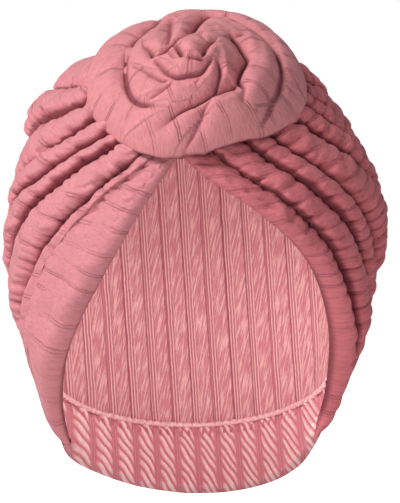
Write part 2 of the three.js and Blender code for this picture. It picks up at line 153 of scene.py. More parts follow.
def smoothstep(value, low, high):
    """0 below low, 1 above high, and 3t^2 - 2t^3 between, with t the share of the way."""
    t = np.clip((np.asarray(value, float) - low) / (high - low), 0, 1)
    return t * t * (3 - 2 * t)


def lerp(a, b, t):
    """a at t = 0 and b at t = 1, straight between."""
    return a + (b - a) * t


def along(places, values, at):
    """A table's value at each place: cubic Hermite curves whose slopes are the chords between a
    row's neighbours, carried on straight past both ends."""
    places = np.asarray(places, float)
    values = np.asarray(values, float)
    at = np.asarray(at, float)
    slope = np.gradient(values, places, edge_order=1)
    slope[1:-1] = (values[2:] - values[:-2]) / (places[2:] - places[:-2])
    i = np.clip(np.searchsorted(places, at, side="left") - 1, 0, len(places) - 2)
    span = places[i + 1] - places[i]
    u = np.clip((at - places[i]) / span, 0, 1)
    rise = u * u * (3 - 2 * u)
    enter = u * (1 - u) ** 2 * span * slope[i]
    leave = u * u * (1 - u) * span * slope[i + 1]
    inside = values[i] + (values[i + 1] - values[i]) * rise + enter - leave
    before = np.minimum(at - places[0], 0) * slope[0]
    after = np.maximum(at - places[-1], 0) * slope[-1]
    return inside + before + after


def distance_along(path):
    """Distance walked along a path of points, from 0 at its first."""
    return np.concatenate([[0], np.cumsum(np.linalg.norm(np.diff(path, axis=0), axis=1))])


def from_longitude(longitude, latitude):
    """Unit directions from degrees round from the front toward the right, and degrees up."""
    turn, rise = np.broadcast_arrays(np.radians(longitude), np.radians(latitude))
    level = np.cos(rise)
    return np.stack([np.sin(turn) * level, -np.cos(turn) * level, np.sin(rise)], -1)


def from_knot(away, round_it):
    """Unit directions from degrees away from the knot's axis and degrees round it from the face."""
    axis = from_longitude(0, KNOT_ELEVATION)
    faceward = from_longitude(0, KNOT_ELEVATION - 90)
    right = np.array([1.0, 0, 0])
    away, round_it = np.broadcast_arrays(np.radians(away), np.radians(round_it))
    ring = np.cos(round_it)[..., None] * faceward + np.sin(round_it)[..., None] * right
    return np.cos(away)[..., None] * axis + np.sin(away)[..., None] * ring


def on_head(direction, height):
    """Points of the head form in each direction, raised by a height along its normal. The form
    is |level|^power + |z / tall|^power = 1 with level the ellipse across, leaned to the side and
    drawn forward below its middle."""
    x, y, z = direction[..., 0], direction[..., 1], direction[..., 2]
    depth = np.where(y < 0, FRONT, BACK)
    tall = np.where(z > 0, TOP, LOW)
    power = np.where(z > 0, TOP_ROUNDNESS, LOW_ROUNDNESS)
    level = (x / HALF_WIDTH) ** 2 + (y / depth) ** 2
    total = level ** (power / 2) + np.abs(z / tall) ** power
    point = direction * (total ** (-1 / power))[..., None]
    px, py, pz = point[..., 0], point[..., 1], point[..., 2]
    flat = np.maximum((px / HALF_WIDTH) ** 2 + (py / depth) ** 2, 1e-9)
    share = flat ** (power / 2 - 1)
    up = np.abs(pz / tall) ** (power - 1) * np.sign(pz) / tall
    normal = np.stack([share * px / HALF_WIDTH ** 2, share * py / depth ** 2, up], -1)
    normal /= np.linalg.norm(normal, axis=-1, keepdims=True)
    point = point + normal * np.asarray(height, float)[..., None]
    point[..., 2] += CENTRE_Z
    point[..., 0] += SIDE_LEAN * (point[..., 2] - SIDE_LEAN_LEVEL)
    below = np.maximum(0, CENTRE_Z - point[..., 2]) / NAPE_DEPTH
    point[..., 1] += NAPE_SHIFT * below * below
    return point


def wall_edge():
    """The wall's edge as longitudes and latitudes, from the folds' front edges and the nape."""
    points = [WALL_APEX]
    for folds, nape, side, end in ((LEFT_FOLDS, LEFT_NAPE_EDGE, -1, EDGE_ENDS["left"]),
                                   (RIGHT_FOLDS, RIGHT_NAPE_EDGE, 1, EDGE_ENDS["right"])):
        away = np.arange(STATIONS[0], end, EDGE_SPACING)
        back = lerp(EDGE_SET_BACK, EDGE_COVERED, smoothstep(away, *HEM_LIP))
        back = back * smoothstep(STATIONS[4] - away, 0, EDGE_BLEND)
        round_it = along(STATIONS, folds[0][0], away) + back / np.sin(np.radians(away))
        direction = from_knot(away, side * round_it)
        longitude = np.degrees(np.arctan2(direction[:, 0], -direction[:, 1]))
        points += list(zip(longitude, np.degrees(np.arcsin(direction[:, 2]))))
        points += [(side * place, latitude) for place, latitude in nape]
    return np.array(sorted(points))


WALL_EDGE = wall_edge()


def edge_latitude(longitude):
    """Latitude of the wall's edge at each longitude."""
    turned = np.where(longitude > 180, longitude - 360, longitude)
    return along(WALL_EDGE[:, 0], WALL_EDGE[:, 1], turned)


def hem_top(longitude):
    """Latitude of the hem's top: it rises from the nape to the ear corners as a power of the way
    there, and a narrow band of hem is left at the ears."""
    reach = np.abs(longitude - 180) / (180 - HEM_END)
    ear = np.where(longitude > 180, HEM_TOP["left"], HEM_TOP["right"])
    risen = HEM_TOP["nape"] + (ear - HEM_TOP["nape"]) * reach ** HEM_TOP_BEND
    return np.maximum(risen, edge_latitude(longitude) + EAR_BAND)


def waves(first, second, sizes, seed):
    """A smooth random relief from -1 to 1 or so: a mean of slanted sine waves of those sizes."""
    random = np.random.default_rng(seed)
    total = 0
    for size in sizes:
        angle, phase = random.uniform(0, 2 * math.pi, 2)
        step = math.cos(angle) * first + math.sin(angle) * second
        total = total + np.sin(2 * math.pi * step / size + phase)
    return total / math.sqrt(len(sizes))


# Meshes

def cells(grid, tube=False):
    """What a grid holds at the corners of each face, four in turn for a cell. A tube's columns go
    round, and its first and last rows are one face each, which close its ends."""
    ends = [grid[0, ::-1], grid[-1]] if tube else []
    if tube:
        grid = np.concatenate([grid, grid[:, :1]], 1)
    corners = np.stack([grid[:-1, :-1], grid[:-1, 1:], grid[1:, 1:], grid[1:, :-1]], 2)
    return [*corners.reshape(-1, 4, *grid.shape[2:]), *ends]


def smooth_piece(name, points, faces):
    """A smooth mesh object from points in millimetres and the faces between them."""
    mesh = bpy.data.meshes.new(name)
    mesh.from_pydata((points.reshape(-1, 3) * 0.001).tolist(), [], [face.tolist() for face in faces])
    mesh.shade_smooth()
    piece = bpy.data.objects.new(name, mesh)
    bpy.context.scene.collection.objects.link(piece)
    return piece


def cloth_piece(name, points, cloth, painted_shade, turned=False, tube=False):
    """A piece of cloth from a grid of points. Each face corner has the cloth's own coordinates in
    millimetres, and each point how much shade is painted on it, most in valleys and creases. Turned faces
    look the other way."""
    number = np.arange(painted_shade.size).reshape(painted_shade.shape)
    faces, corners = cells(number, tube), cells(cloth, tube)
    if turned:
        faces, corners = ([face[::-1] for face in given] for given in (faces, corners))
    piece = smooth_piece(name, points, faces)
    layer = piece.data.uv_layers.new(name="cloth")
    layer.data.foreach_set("uv", np.concatenate(corners).reshape(-1).astype(np.float32))
    depth = piece.data.attributes.new("painted_shade", "FLOAT", "POINT")
    depth.data.foreach_set("value", painted_shade.reshape(-1).astype(np.float32))
    return piece


# Wraps

STEPS_ALONG = 250
STEPS_PER_FOLD = 34
ROLL_STEPS = 26
TUCK_STEPS = 6
MM_PER_DEGREE = 1.26

# A fold's form: the power that moves its crest forward, how full and how round it is, how far it
# leans over the valley in front of it, and how the valleys sink
FOLD_SKEW = 0.74
FOLD_BREADTH = 2.4
FOLD_ROUNDNESS = 0.5
OVERHANG = 3.6
FULL_LEAN_DEPTH = 4
VALLEY_DEEPER = 2.3
LEAST_FLOOR = 3.2
SOFT_DEPTH = 1.5
SOFT_CREASE = 0.3
SOFT_CREASE_ENDS = (50, 74)

# The front roll: its reach as a share of its thickness and of the fold's breadth, the height of
# its under side (open, over the wall, over the hem), its tuck, and its thin end at the seam
ROLL_REACH = 0.5
ROLL_SHARE = 0.3
ROLL_UNDER = (1.2, -0.6, -1.4)
TUCK_LENGTH = 9
TUCK_RISE = 1.6
ROLL_THIN = 1.6
ROLL_THINS_START = 0.945
SEAM_TUCK = 0.6
SEAM_TUCK_START = 0.985

# Relief of the drawn-up cloth: rib lines start afresh in each fold, crimps cross the valleys.
# The waves are the sizes in mm of each random relief's sine waves
DRIFT_WAVES = (41, 57, 73)
FOLD_OFFSET = 3.7
PUCKER_MEAN = 0.6
PUCKER_IN_VALLEY = 1.3
PATCHINESS = 0.35
PATCH_WAVES = (19, 27, 39)
CRIMP = 4.4
CRIMP_AT_KNOT = 0.7
CRIMP_FADES = (45, 80)
CRIMP_ON_CREST = 0.15
CRIMP_DRIFT = 1.6
CRIMP_WAVES = (17, 29)
SLOW_RELIEF = 0.32
SLOW_WAVES = (13, 17, 23, 31)
WRINKLE = 0.4
WRINKLE_STRETCH = 0.22
WRINKLE_WAVES = (7, 9.5, 13)

# How much shade is painted in the grooves and crimps, and how far in mm the shade painted at a valley goes
# up the fold behind it and the fold in front of it
GROOVE_SHADE = 0.35
CRIMP_SHADE = 0.22
VALLEY_SHADE = (0.95, 0.5)
FULL_SHADE_DEPTH = 5

# Share of the way from the knot to the side-back seam, and what fades along it
ALONG_FOLD = np.linspace(0, 1, STEPS_ALONG)[:, None]
SEAM_FADE = smoothstep(ALONG_FOLD, SEAM_FADE_START, 1)
ROLL_THINS = smoothstep(ALONG_FOLD, ROLL_THINS_START, 1)

LEFT_WRAP = {
    "side": -1, "folds": LEFT_FOLDS, "ear": EAR_CORNER["left"], "repeat": LEFT_REPEAT,
    "wander": 2.0, "pucker": 1.2, "on_crest": 0.35, "crimp": 1.7, "seed": 3}
RIGHT_WRAP = {
    "side": 1, "folds": RIGHT_FOLDS, "ear": EAR_CORNER["right"], "repeat": RIGHT_REPEAT,
    "wander": 1.6, "pucker": 1.6, "on_crest": 0.8, "crimp": 1.0, "seed": 5}


def valley_table(wrap, k):
    """Where the valley in front of fold k runs at the stations; past the last fold it is the line
    over the crown."""
    folds = wrap["folds"]
    return folds[k][0] if k < len(folds) else [CROWN_LINE] * len(STATIONS)


def valley_at(wrap, k, away):
    """Degrees round the knot's axis of the valley in front of fold k: past the first station the
    valleys draw together under the rosette, and none crosses the line where the wraps meet."""
    before = np.maximum(STATIONS[0] - away, 0)
    eased = START_CURVE * (1 - np.exp(-before / START_CURVE))
    round_it = along(STATIONS, valley_table(wrap, k), np.maximum(away, STATIONS[0] - eased))
    return np.maximum(round_it, wrap["side"] * MEETING_LINE)


def crest_at(fold, away):
    """Height of a fold over the head form."""
    return along(STATIONS, fold[2], np.clip(away, STATIONS[0], STATIONS[4]))


def floor_at(folds, k, away):
    """Height of the valley in front of fold k, under the lower of its two neighbours; behind the
    last fold it is that fold's crest."""
    if k == len(folds):
        return crest_at(folds[-1], away)
    before, after = crest_at(folds[k - 1], away), crest_at(folds[k], away)
    depth = folds[k][1] * (VALLEY_DEEPER if folds[k][1] > SOFT_DEPTH else SOFT_CREASE)
    return np.maximum(np.minimum(before, after) - depth, LEAST_FLOOR)


def ring_away(wrap, k, u):
    """Degrees away from the knot of fold k at a share u of its breadth, from the ring under the
    rosette straight to the side-back seam, which slopes on from the ear's corner."""
    at, after = (along(STATIONS, valley_table(wrap, n), STATIONS[3]) for n in (k, k + 1))
    ear = wrap["ear"]
    seam = ear[0] - SEAM_SLOPE * np.maximum(0, lerp(at, after, u) - ear[1])
    return lerp(KNOT_RING, seam, ALONG_FOLD)


def rolled_in(away):
    """How far the front edge rolls in over the wall's edge: nothing at the knot and the ear."""
    return smoothstep(away, *LIP_BEGINS) * (1 - smoothstep(away, *LIP_ENDS))


def roll_reach(thick, breadth, degree):
    """Degrees from the roll's edge to its top: a share of its thickness, and no more than a share
    of the fold's breadth."""
    return np.minimum(ROLL_REACH * thick, ROLL_SHARE * breadth * degree) / degree


def puckers(travel, repeat):
    """Rounded bumps between the rib lines that cross a fold: |sin| of the travel along it, whose
    zeros are the lines."""
    return np.abs(np.sin(math.pi * travel / repeat)) ** 0.6


def lay_cloth(wrap, k, away, round_it, height, depth, near, lean=0.0, calm=0.0):
    """Points, cloth coordinates and painted shade of a part of fold k at these heights. To a height are
    added bumps between the rib lines, which drift slowly, crimps (|sin| of the travel, where the cloth is
    near a valley), a slow relief, and wrinkles that are long in the fold's own direction. They fade at the
    side-back seam, and calm cloth has none. The painted shade is the depth given, which also lets the
    bumps grow toward the valleys, with more shade painted at the rib lines and in the crimps."""
    seed, pucker, on_crest = wrap["seed"], wrap["pucker"], wrap["on_crest"]
    travel = MM_PER_DEGREE * away
    across = MM_PER_DEGREE * round_it * np.sin(np.radians(away))
    rib_at = travel + wrap["wander"] * waves(travel, across, DRIFT_WAVES, seed) + FOLD_OFFSET * k
    bumps = puckers(rib_at, wrap["repeat"])
    patchy = 1 + PATCHINESS * waves(travel, across, PATCH_WAVES, seed + 2)
    strength = pucker * patchy * lerp(on_crest, PUCKER_IN_VALLEY, depth) * (1 - 0.7 * SEAM_FADE)
    crimp_at = travel + CRIMP_DRIFT * waves(travel, across, CRIMP_WAVES, seed + 9)
    small = np.abs(np.sin(math.pi * crimp_at / CRIMP))
    drawn_up = wrap["crimp"] * (1 + CRIMP_AT_KNOT * (1 - smoothstep(away, *CRIMP_FADES)))
    loose = drawn_up * lerp(CRIMP_ON_CREST, 1, near) * (small ** 0.7 - PUCKER_MEAN)
    loose = loose + SLOW_RELIEF * waves(travel, across, SLOW_WAVES, seed + 1)
    loose = loose + WRINKLE * waves(WRINKLE_STRETCH * travel, across, WRINKLE_WAVES, seed + 3 + k)
    rise = strength * (bumps - PUCKER_MEAN) + loose * (1 - SEAM_FADE)
    shifted = round_it - lean * (0.7 * bumps + 0.35 * small - 0.25)
    points = on_head(from_knot(away, wrap["side"] * shifted), height + rise * (1 - calm))
    cloth = np.stack(np.broadcast_arrays(rib_at, across), -1)
    # painted shade at the rib lines between the bumps and in the crimps, added to the shade given
    painted_groove_shade = pucker * GROOVE_SHADE * on_crest * (1 - bumps) ** 2
    painted_groove_shade = (painted_groove_shade + CRIMP_SHADE * wrap["crimp"] * near * (1 - small) ** 2) * (1 - SEAM_FADE)
    return points, cloth, np.clip(depth + painted_groove_shade * (1 - calm), 0, 1)


def front_roll(wrap):
    """The rolled front edge in two parts: a tuck that lies flat behind the wall's edge, then half
    an ellipse from the roll's under side round its front to its top."""
    away = ring_away(wrap, 0, np.zeros((1, ROLL_STEPS)))
    degree = MM_PER_DEGREE * np.sin(np.radians(away))
    front, after = (valley_at(wrap, n, away) for n in (0, 1))
    over_wall = lerp(ROLL_UNDER[1], ROLL_UNDER[2], smoothstep(away, *HEM_LIP))
    bottom = lerp(ROLL_UNDER[0], over_wall, rolled_in(away))
    top = lerp(crest_at(wrap["folds"][0], away), SEAM_THICKNESS, SEAM_FADE)
    top = lerp(top, ROLL_THIN, ROLL_THINS)
    reach = roll_reach(top - bottom, after - front, degree)
    tuck = np.linspace(1, 0, TUCK_STEPS, endpoint=False)[None, :]
    behind = (front + reach)[:, :1] + tuck * TUCK_LENGTH / degree[:, :1]
    under = bottom[:, :1] + TUCK_RISE * smoothstep(tuck, 0.55, 1)
    tuck_away = np.broadcast_to(away[:, :1], behind.shape)
    # the tuck behind the wall's edge is painted fully in shade
    tucked = lay_cloth(wrap, 0, tuck_away, behind, under, np.ones_like(behind), 0, calm=1.0)
    turn = np.radians(np.linspace(-90, 90, ROLL_STEPS))[None, :]
    round_it = front + reach * (1 - np.cos(turn))
    height = lerp(bottom, top, 0.5 + 0.5 * np.sin(turn))
    # painted shade on the roll's under side, fading out up its front
    dark = smoothstep(-np.sin(turn), -0.2, 1)
    calm = smoothstep(-np.sin(turn), -0.1, 0.9)
    return [tucked, lay_cloth(wrap, 0, away, round_it, height, dark, 0, calm=calm)]


def past_soft_crease(folds, k, u, away, height):
    """A fold's height, and how far a crease beside it has gone: a shallow crease runs out between
    two distances from the knot, and past it the two folds' mean crest takes its place."""
    crest = crest_at(folds[k], away)
    gone = smoothstep(away, *SOFT_CREASE_ENDS)
    if k > 0 and folds[k][1] < SOFT_DEPTH:
        mean = 0.5 * (crest_at(folds[k - 1], away) + crest)
        gone = gone * (u < 0.5)
        return lerp(height, lerp(mean, crest, smoothstep(u, 0, 0.5)), gone), gone
    if k + 1 < len(folds) and folds[k + 1][1] < SOFT_DEPTH:
        mean = 0.5 * (crest + crest_at(folds[k + 1], away))
        return lerp(height, lerp(crest, mean, smoothstep(u, 0, 1)), gone), gone
    return height, 0 * gone


def painted_valley_shade(k, u, breadth, rise):
    """Painted shade on a fold beside its two valleys: it falls off as a bell curve of the distance in
    millimetres, and a low fold has less of it."""
    in_front = np.exp(-(u * breadth / VALLEY_SHADE[0]) ** 2) * (k > 0)
    behind = np.exp(-((1 - u) * breadth / VALLEY_SHADE[1]) ** 2)
    return np.clip(rise / FULL_SHADE_DEPTH, 0, 1) * np.maximum(in_front, behind) * (1 - SEAM_FADE)


def fold_cloth(wrap, k):
    """Fold k, from the valley in front of it to the next. Its height over the valleys' floor is
    the crest's, times (1 - |2 u^skew - 1|^breadth)^roundness with u the share of the way across;
    the first fold falls from the roll's top as a root of the cosine. All folds fade to a thin
    seam at the side back, and the last one goes down to the wall at the crown."""
    folds = wrap["folds"]
    u = np.linspace(0, 1, STEPS_PER_FOLD + 1)[None, 1:]
    away = ring_away(wrap, k, u)
    degree = MM_PER_DEGREE * np.sin(np.radians(away))
    start, end = (valley_at(wrap, n, away) for n in (k, k + 1))
    crest = crest_at(folds[k], away)
    floor = floor_at(folds, k + 1, away)
    if k == 0:
        start = start + roll_reach(crest - ROLL_UNDER[1], end - start, degree)
        profile = np.cos(0.5 * math.pi * u) ** FOLD_ROUNDNESS
        lean = 0
    else:
        profile = (1 - np.abs(2 * u ** FOLD_SKEW - 1) ** FOLD_BREADTH) ** FOLD_ROUNDNESS
        floor = lerp(floor_at(folds, k, away), floor, u)
        lean = OVERHANG * min(folds[k][1] / FULL_LEAN_DEPTH, 1)
        lean = lean * profile * (1 - u) / degree * (1 - SEAM_FADE)
    height = floor + (crest - floor) * profile
    height, gone = past_soft_crease(folds, k, u, away, height)
    height = lerp(height, SEAM_THICKNESS, SEAM_FADE)
    if k == 0:
        height = lerp(height, lerp(ROLL_THIN, SEAM_THICKNESS, smoothstep(u, 0, 1)), ROLL_THINS)
    height = lerp(height, WALL - SEAM_TUCK, smoothstep(ALONG_FOLD, SEAM_TUCK_START, 1))
    crown = smoothstep(u, 0.9, 1) * (k + 1 == len(folds))
    height = lerp(height, WALL, crown)
    # painted shade beside both valleys, none where a soft crease has gone
    dark = painted_valley_shade(k, u, (end - start) * degree, crest - floor) * (1 - gone)
    near = (1 - smoothstep(np.minimum(u, 1 - u), 0, 0.4)) * (1 - gone)
    return lay_cloth(wrap, k, away, lerp(start, end, u), height, dark, near, lean, crown)


def wrap_cloth(name, wrap):
    """One gathered wrap: its rolled front edge and its folds, side by side in one sheet."""
    parts = front_roll(wrap) + [fold_cloth(wrap, k) for k in range(len(wrap["folds"]))]
    points, cloth, painted_shade = (np.concatenate(part, 1) for part in zip(*parts))
    return cloth_piece(name, points, cloth, painted_shade, turned=wrap["side"] < 0)


# Cap wall, hem and overlocking

# The wall's grid, the latitude where its end closes, how its edge bulges and how its ribs stand:
# their furrows are a share of the rib repeat wide, and straight until a turn from the nape
WALL_COLUMNS = 880
INNER_ROWS = 72
EDGE_ROWS = 5
OUTER_ROWS = 30
CROWN_LATITUDE = 89.6
EDGE_BULGE = 0.4
RIB_RELIEF = 0.35
FURROW = 0.075
FURROW_SHARE = 0.3
RIBS_TURN = math.radians(42)
SIDE_RADIUS = 66
RIB_OFFSET = 4.5
RIB_LEAN_LEVEL = -122


def rib_place(points, down_sides=1.0):
    """Where a point lies across the upright ribs, in repeats. Behind it is the place from side to
    side, with the ribs' slight lean; past a turn from the nape it grows with the angle instead,
    so that the ribs run on down the sides."""
    x, y, z = points[..., 0], points[..., 1], points[..., 2]
    turned = np.arctan2(np.abs(x), y)
    past = math.sin(RIBS_TURN) + math.cos(RIBS_TURN) * (turned - RIBS_TURN)
    spread = np.where(turned < RIBS_TURN, np.sin(turned), past)
    radius = lerp(np.hypot(x, y), SIDE_RADIUS, smoothstep(turned, RIBS_TURN, 2 * RIBS_TURN))
    aside = lerp(x, np.sign(x) * spread * radius, down_sides)
    return (aside + RIB_OFFSET + RIB_LEAN * (z - RIB_LEAN_LEVEL)) / RIB_REPEAT


def wall_cloth():
    """The cap's wall as one closed shell: the inner face from the crown to the edge, round the
    edge, and the outer face back to the crown. Low rounded ribs stand on both faces."""
    longitude = np.linspace(0, 360, WALL_COLUMNS, endpoint=False)[None, :]
    edge = edge_latitude(longitude)
    inner = 1 - np.linspace(0, 1, INNER_ROWS)[:, None] ** 0.9
    outer = np.linspace(0, 1, OUTER_ROWS)[:, None] ** 1.2
    turn = np.radians(np.linspace(0, 180, EDGE_ROWS + 2))[1:-1, None]
    latitude = np.concatenate([
        lerp(edge, CROWN_LATITUDE, inner),
        edge - EDGE_BULGE * np.sin(turn),
        lerp(edge, CROWN_LATITUDE, outer)])
    height = WALL * np.concatenate([0 * inner, 0.5 * (1 - np.cos(turn)), 1 + 0 * outer])
    facing = np.concatenate([-1 + 0 * inner, 0 * turn, 1 + 0 * outer])
    direction = from_longitude(longitude, latitude)
    base = on_head(direction, np.broadcast_to(height, latitude.shape))
    place = rib_place(base)
    furrow = np.exp(-((place - np.round(place)) / FURROW) ** 2)
    points = on_head(direction, height + facing * RIB_RELIEF * (FURROW_SHARE - furrow))
    cloth = np.stack([place * RIB_REPEAT, base[..., 2]], -1)
    return cloth_piece("cap_wall_cloth", points, cloth, 0.5 + 0 * latitude, tube=True)


# The hem's grid, its height over the head form inside and outside, and how far in degrees its
# fold hangs under the wall's edge and its outside goes up
HEM_COLUMNS = 880
HEM_ROWS = 84
HEM_CURL_ROWS = 14
HEM_BACK_ROWS = 12
HEM_INSIDE = -1.5
HEM_OUTSIDE = 2.6
HEM_BACK_SINKS = 1.2
HEM_EDGE_DROP = 0.75
HEM_BACK_RISES = 2.4

# A plait's middle and half breadth as shares of the rib repeat, and its strands' slope and length
PLAIT_MIDDLE = 0.62
PLAIT_HALF = 0.4
PLAIT_SLOPE = 1.5
PLAIT_REPEAT = 5
PLAIT_UNEVEN = 0.12
PLAIT_WAVES = (9, 13, 21)
PLAIT_SEED = 31

# Overlocking: stitch length, how far under the hem's top its dents lie, their size, and how broad
# the hem is where the stitches start
OVERLOCK_PITCH = 3.7
DENT_BELOW = 1.9
DENT_HALF = 0.8
DENT_DEPTH = 1.1
LEAST_HEM = 2.5


def hem_cloth():
    """The hem turned up inside the nape: plaited ribs on its inner face, from the overlocked top
    down to the edge, round it with a small radius and a little way up the outside. A plait is a
    bulge across the rib, 1 minus the square of the distance from its middle, cut by slanted sine
    waves into strands."""
    longitude = np.linspace(HEM_END, 360 - HEM_END, HEM_COLUMNS)[None, :]
    edge = edge_latitude(longitude)
    top = hem_top(longitude)
    down = np.linspace(1, 0, HEM_ROWS)[:, None]
    turn = np.radians(np.linspace(0, 180, HEM_CURL_ROWS + 2))[1:-1, None]
    back = np.linspace(0, 1, HEM_BACK_ROWS)[:, None]
    latitude = np.concatenate([
        lerp(edge, top, down),
        edge - HEM_EDGE_DROP * np.sin(turn),
        edge + HEM_BACK_RISES * back])
    height = np.concatenate([
        HEM_INSIDE + 0 * down,
        lerp(HEM_INSIDE, HEM_OUTSIDE, 0.5 * (1 - np.cos(turn))),
        HEM_OUTSIDE - HEM_BACK_SINKS * back ** 2])
    facing = np.concatenate([-1 + 0 * down, -np.maximum(np.cos(turn), 0), 0 * back])
    direction = from_longitude(longitude, latitude)
    base = on_head(direction, np.broadcast_to(height, latitude.shape))
    place = rib_place(base, down_sides=0.0)
    width = place - np.floor(place)
    bulge = np.clip(1 - ((width - PLAIT_MIDDLE) / PLAIT_HALF) ** 2, 0, 1) ** 0.7
    steps = (base[..., 2] + PLAIT_SLOPE * RIB_REPEAT * width) / PLAIT_REPEAT
    steps = steps + PLAIT_UNEVEN * waves(place * RIB_REPEAT, base[..., 2], PLAIT_WAVES, PLAIT_SEED)
    strand = (0.5 + 0.5 * np.sin(2 * math.pi * steps)) ** 0.8
    below = np.radians(top - latitude) * BACK
    walked = np.radians(longitude - 180) * SIDE_RADIUS
    stitch = smoothstep(np.cos(2 * math.pi * walked / OVERLOCK_PITCH), 0.1, 0.9)
    stitch = stitch * np.exp(-((below - DENT_BELOW) / DENT_HALF) ** 2)
    relief = bulge * (0.3 + 1.3 * strand) - DENT_DEPTH * stitch
    whole = smoothstep(top - edge, 0.7, 3)
    points = on_head(direction, (height + facing * relief) * whole)
    cloth = np.stack([place * RIB_REPEAT, base[..., 2]], -1)
    # painted shade in the furrows between the plaits, between the strands and in the overlock's dents
    painted_shade = np.clip(0.75 * (1 - bulge) + 0.9 * bulge * (1 - strand) ** 1.3 + stitch, 0, 1)
    return cloth_piece("nape_hem_cloth", points, cloth, painted_shade, turned=True)


# One loop of thread: its grid, its radius and how that tapers, its reach to each side and its
# rise and fall in degrees, and how far inside the head form it lies
LOOP_STEPS = 11
LOOP_SIDES = 8
LOOP_RADIUS = 1.35
LOOP_TAPER = 0.93
LOOP_REACH = 1.82
LOOP_RISES = 0.45
LOOP_FALLS = 0.5
LOOP_IN = -3.2
LOOP_BULGE = 0.56


def overlock_thread():
    """Overlocking along the hem's top: a row of short thick loops of thread over its edge, each a
    bent tube whose radius swells in its middle as an ellipse."""
    line = np.linspace(HEM_END + 1, 359 - HEM_END, 600)
    line = line[hem_top(line) - edge_latitude(line) > LEAST_HEM]
    travel = distance_along(on_head(from_longitude(line, hem_top(line)), HEM_INSIDE + 0 * line))
    count = int(travel[-1] / OVERLOCK_PITCH)
    centre = np.interp((np.arange(count) + 0.5) * OVERLOCK_PITCH, travel, line)[:, None]
    bend = np.linspace(-1, 1, LOOP_STEPS)
    rise = hem_top(centre) + LOOP_RISES - LOOP_FALLS * bend ** 2
    over = LOOP_IN + LOOP_BULGE * (1 - bend ** 2)
    middle = on_head(from_longitude(centre + LOOP_REACH * bend, rise), over)
    tangent = np.gradient(middle, axis=1)
    tangent /= np.linalg.norm(tangent, axis=2, keepdims=True)
    outward = on_head(from_longitude(centre, rise), over - 1) - middle
    outward -= (outward * tangent).sum(2, keepdims=True) * tangent
    outward /= np.linalg.norm(outward, axis=2, keepdims=True)
    angle = np.linspace(0, 2 * math.pi, LOOP_SIDES, endpoint=False)[:, None]
    ring = np.cos(angle) * outward[:, :, None] + np.sin(angle) * np.cross(tangent, outward)[:, :, None]
    radius = LOOP_RADIUS * np.sqrt(np.clip(1 - (LOOP_TAPER * bend) ** 2, 0.02, 1))
    points = middle[:, :, None] + radius[:, None, None] * ring
    number = np.arange(count * LOOP_STEPS * LOOP_SIDES).reshape(count, LOOP_STEPS, LOOP_SIDES)
    faces = [face for grid in number for face in cells(grid, tube=True)]
    return smooth_piece("hem_overlock_thread", points, faces)


# Rosette

ROSETTE_COLUMNS = 640
FACE_ROWS = 108
FLANK_ROWS = 14
FOOT_ROWS = 12
UNDER_ROWS = 4
ROSETTE_MIDDLE = (-4, 3)
# Distance of the rim from the middle and how far it is pressed down, every thirty degrees round
# from the right
RIM = [48, 53, 58, 60, 59, 52, 45, 39, 38, 36, 36, 41]
RIM_DROP = [8, 5, 0, 0, 0, 0.5, 2.5, 5, 5.5, 4.5, 5, 7.5]
RIM_ROUNDNESS = 9
FOOT_DRAWN_IN = (4, 20)
FLANK_FOOT = -20
PATH_STEP = 0.5
# Height of the lobes over the dome at distances from the middle
CREST_AT = [0, 5, 10, 15, 20, 27, 34, 42, 50, 62]
CREST = [23, 21.5, 19, 16, 13.5, 11.3, 9.5, 8, 7.5, 7]
CREST_LEAN = 0.04
# Creases: how far under the crests they are read off the photo, the length over which their ends fade, how
# round their walls are, how much deeper they are drawn than their tables say, and the widths of the shade
# painted along them: a dark line and a gloom beside it
CREASE_FLOOR = 3
CREASE_FADE = 4
CREASE_ROUNDNESS = 0.5
CREASE_DEEPER = 1.6
CREASE_SHADE = 0.8
CREASE_GLOOM = 3.2
GLOOM_SHARE = 0.24
# Relief of the coiled cloth, with the sizes in mm of each random relief's sine waves
COIL_SEED = 20
COIL_DRIFT = 1.8
COIL_DRIFT_WAVES = (37, 53, 71)
COIL_RELIEF = 0.5
COIL_UNEVEN = 0.3
COIL_UNEVEN_WAVES = (11, 15, 21, 29)
COIL_WRINKLE = 0.35
COIL_WRINKLE_STRETCH = 0.25
COIL_WRINKLE_WAVES = (5, 7, 9.5)

# The camera the creases were read through: its place in mm, the photo's middle and height in
# pixels, and mm a pixel at the head's middle
CAMERA = np.array([1.3, -1500.0, -86.5])
PHOTO_MIDDLE = (200, 251.5)
PHOTO_HEIGHT = 503
MM_PER_PIXEL = 0.44

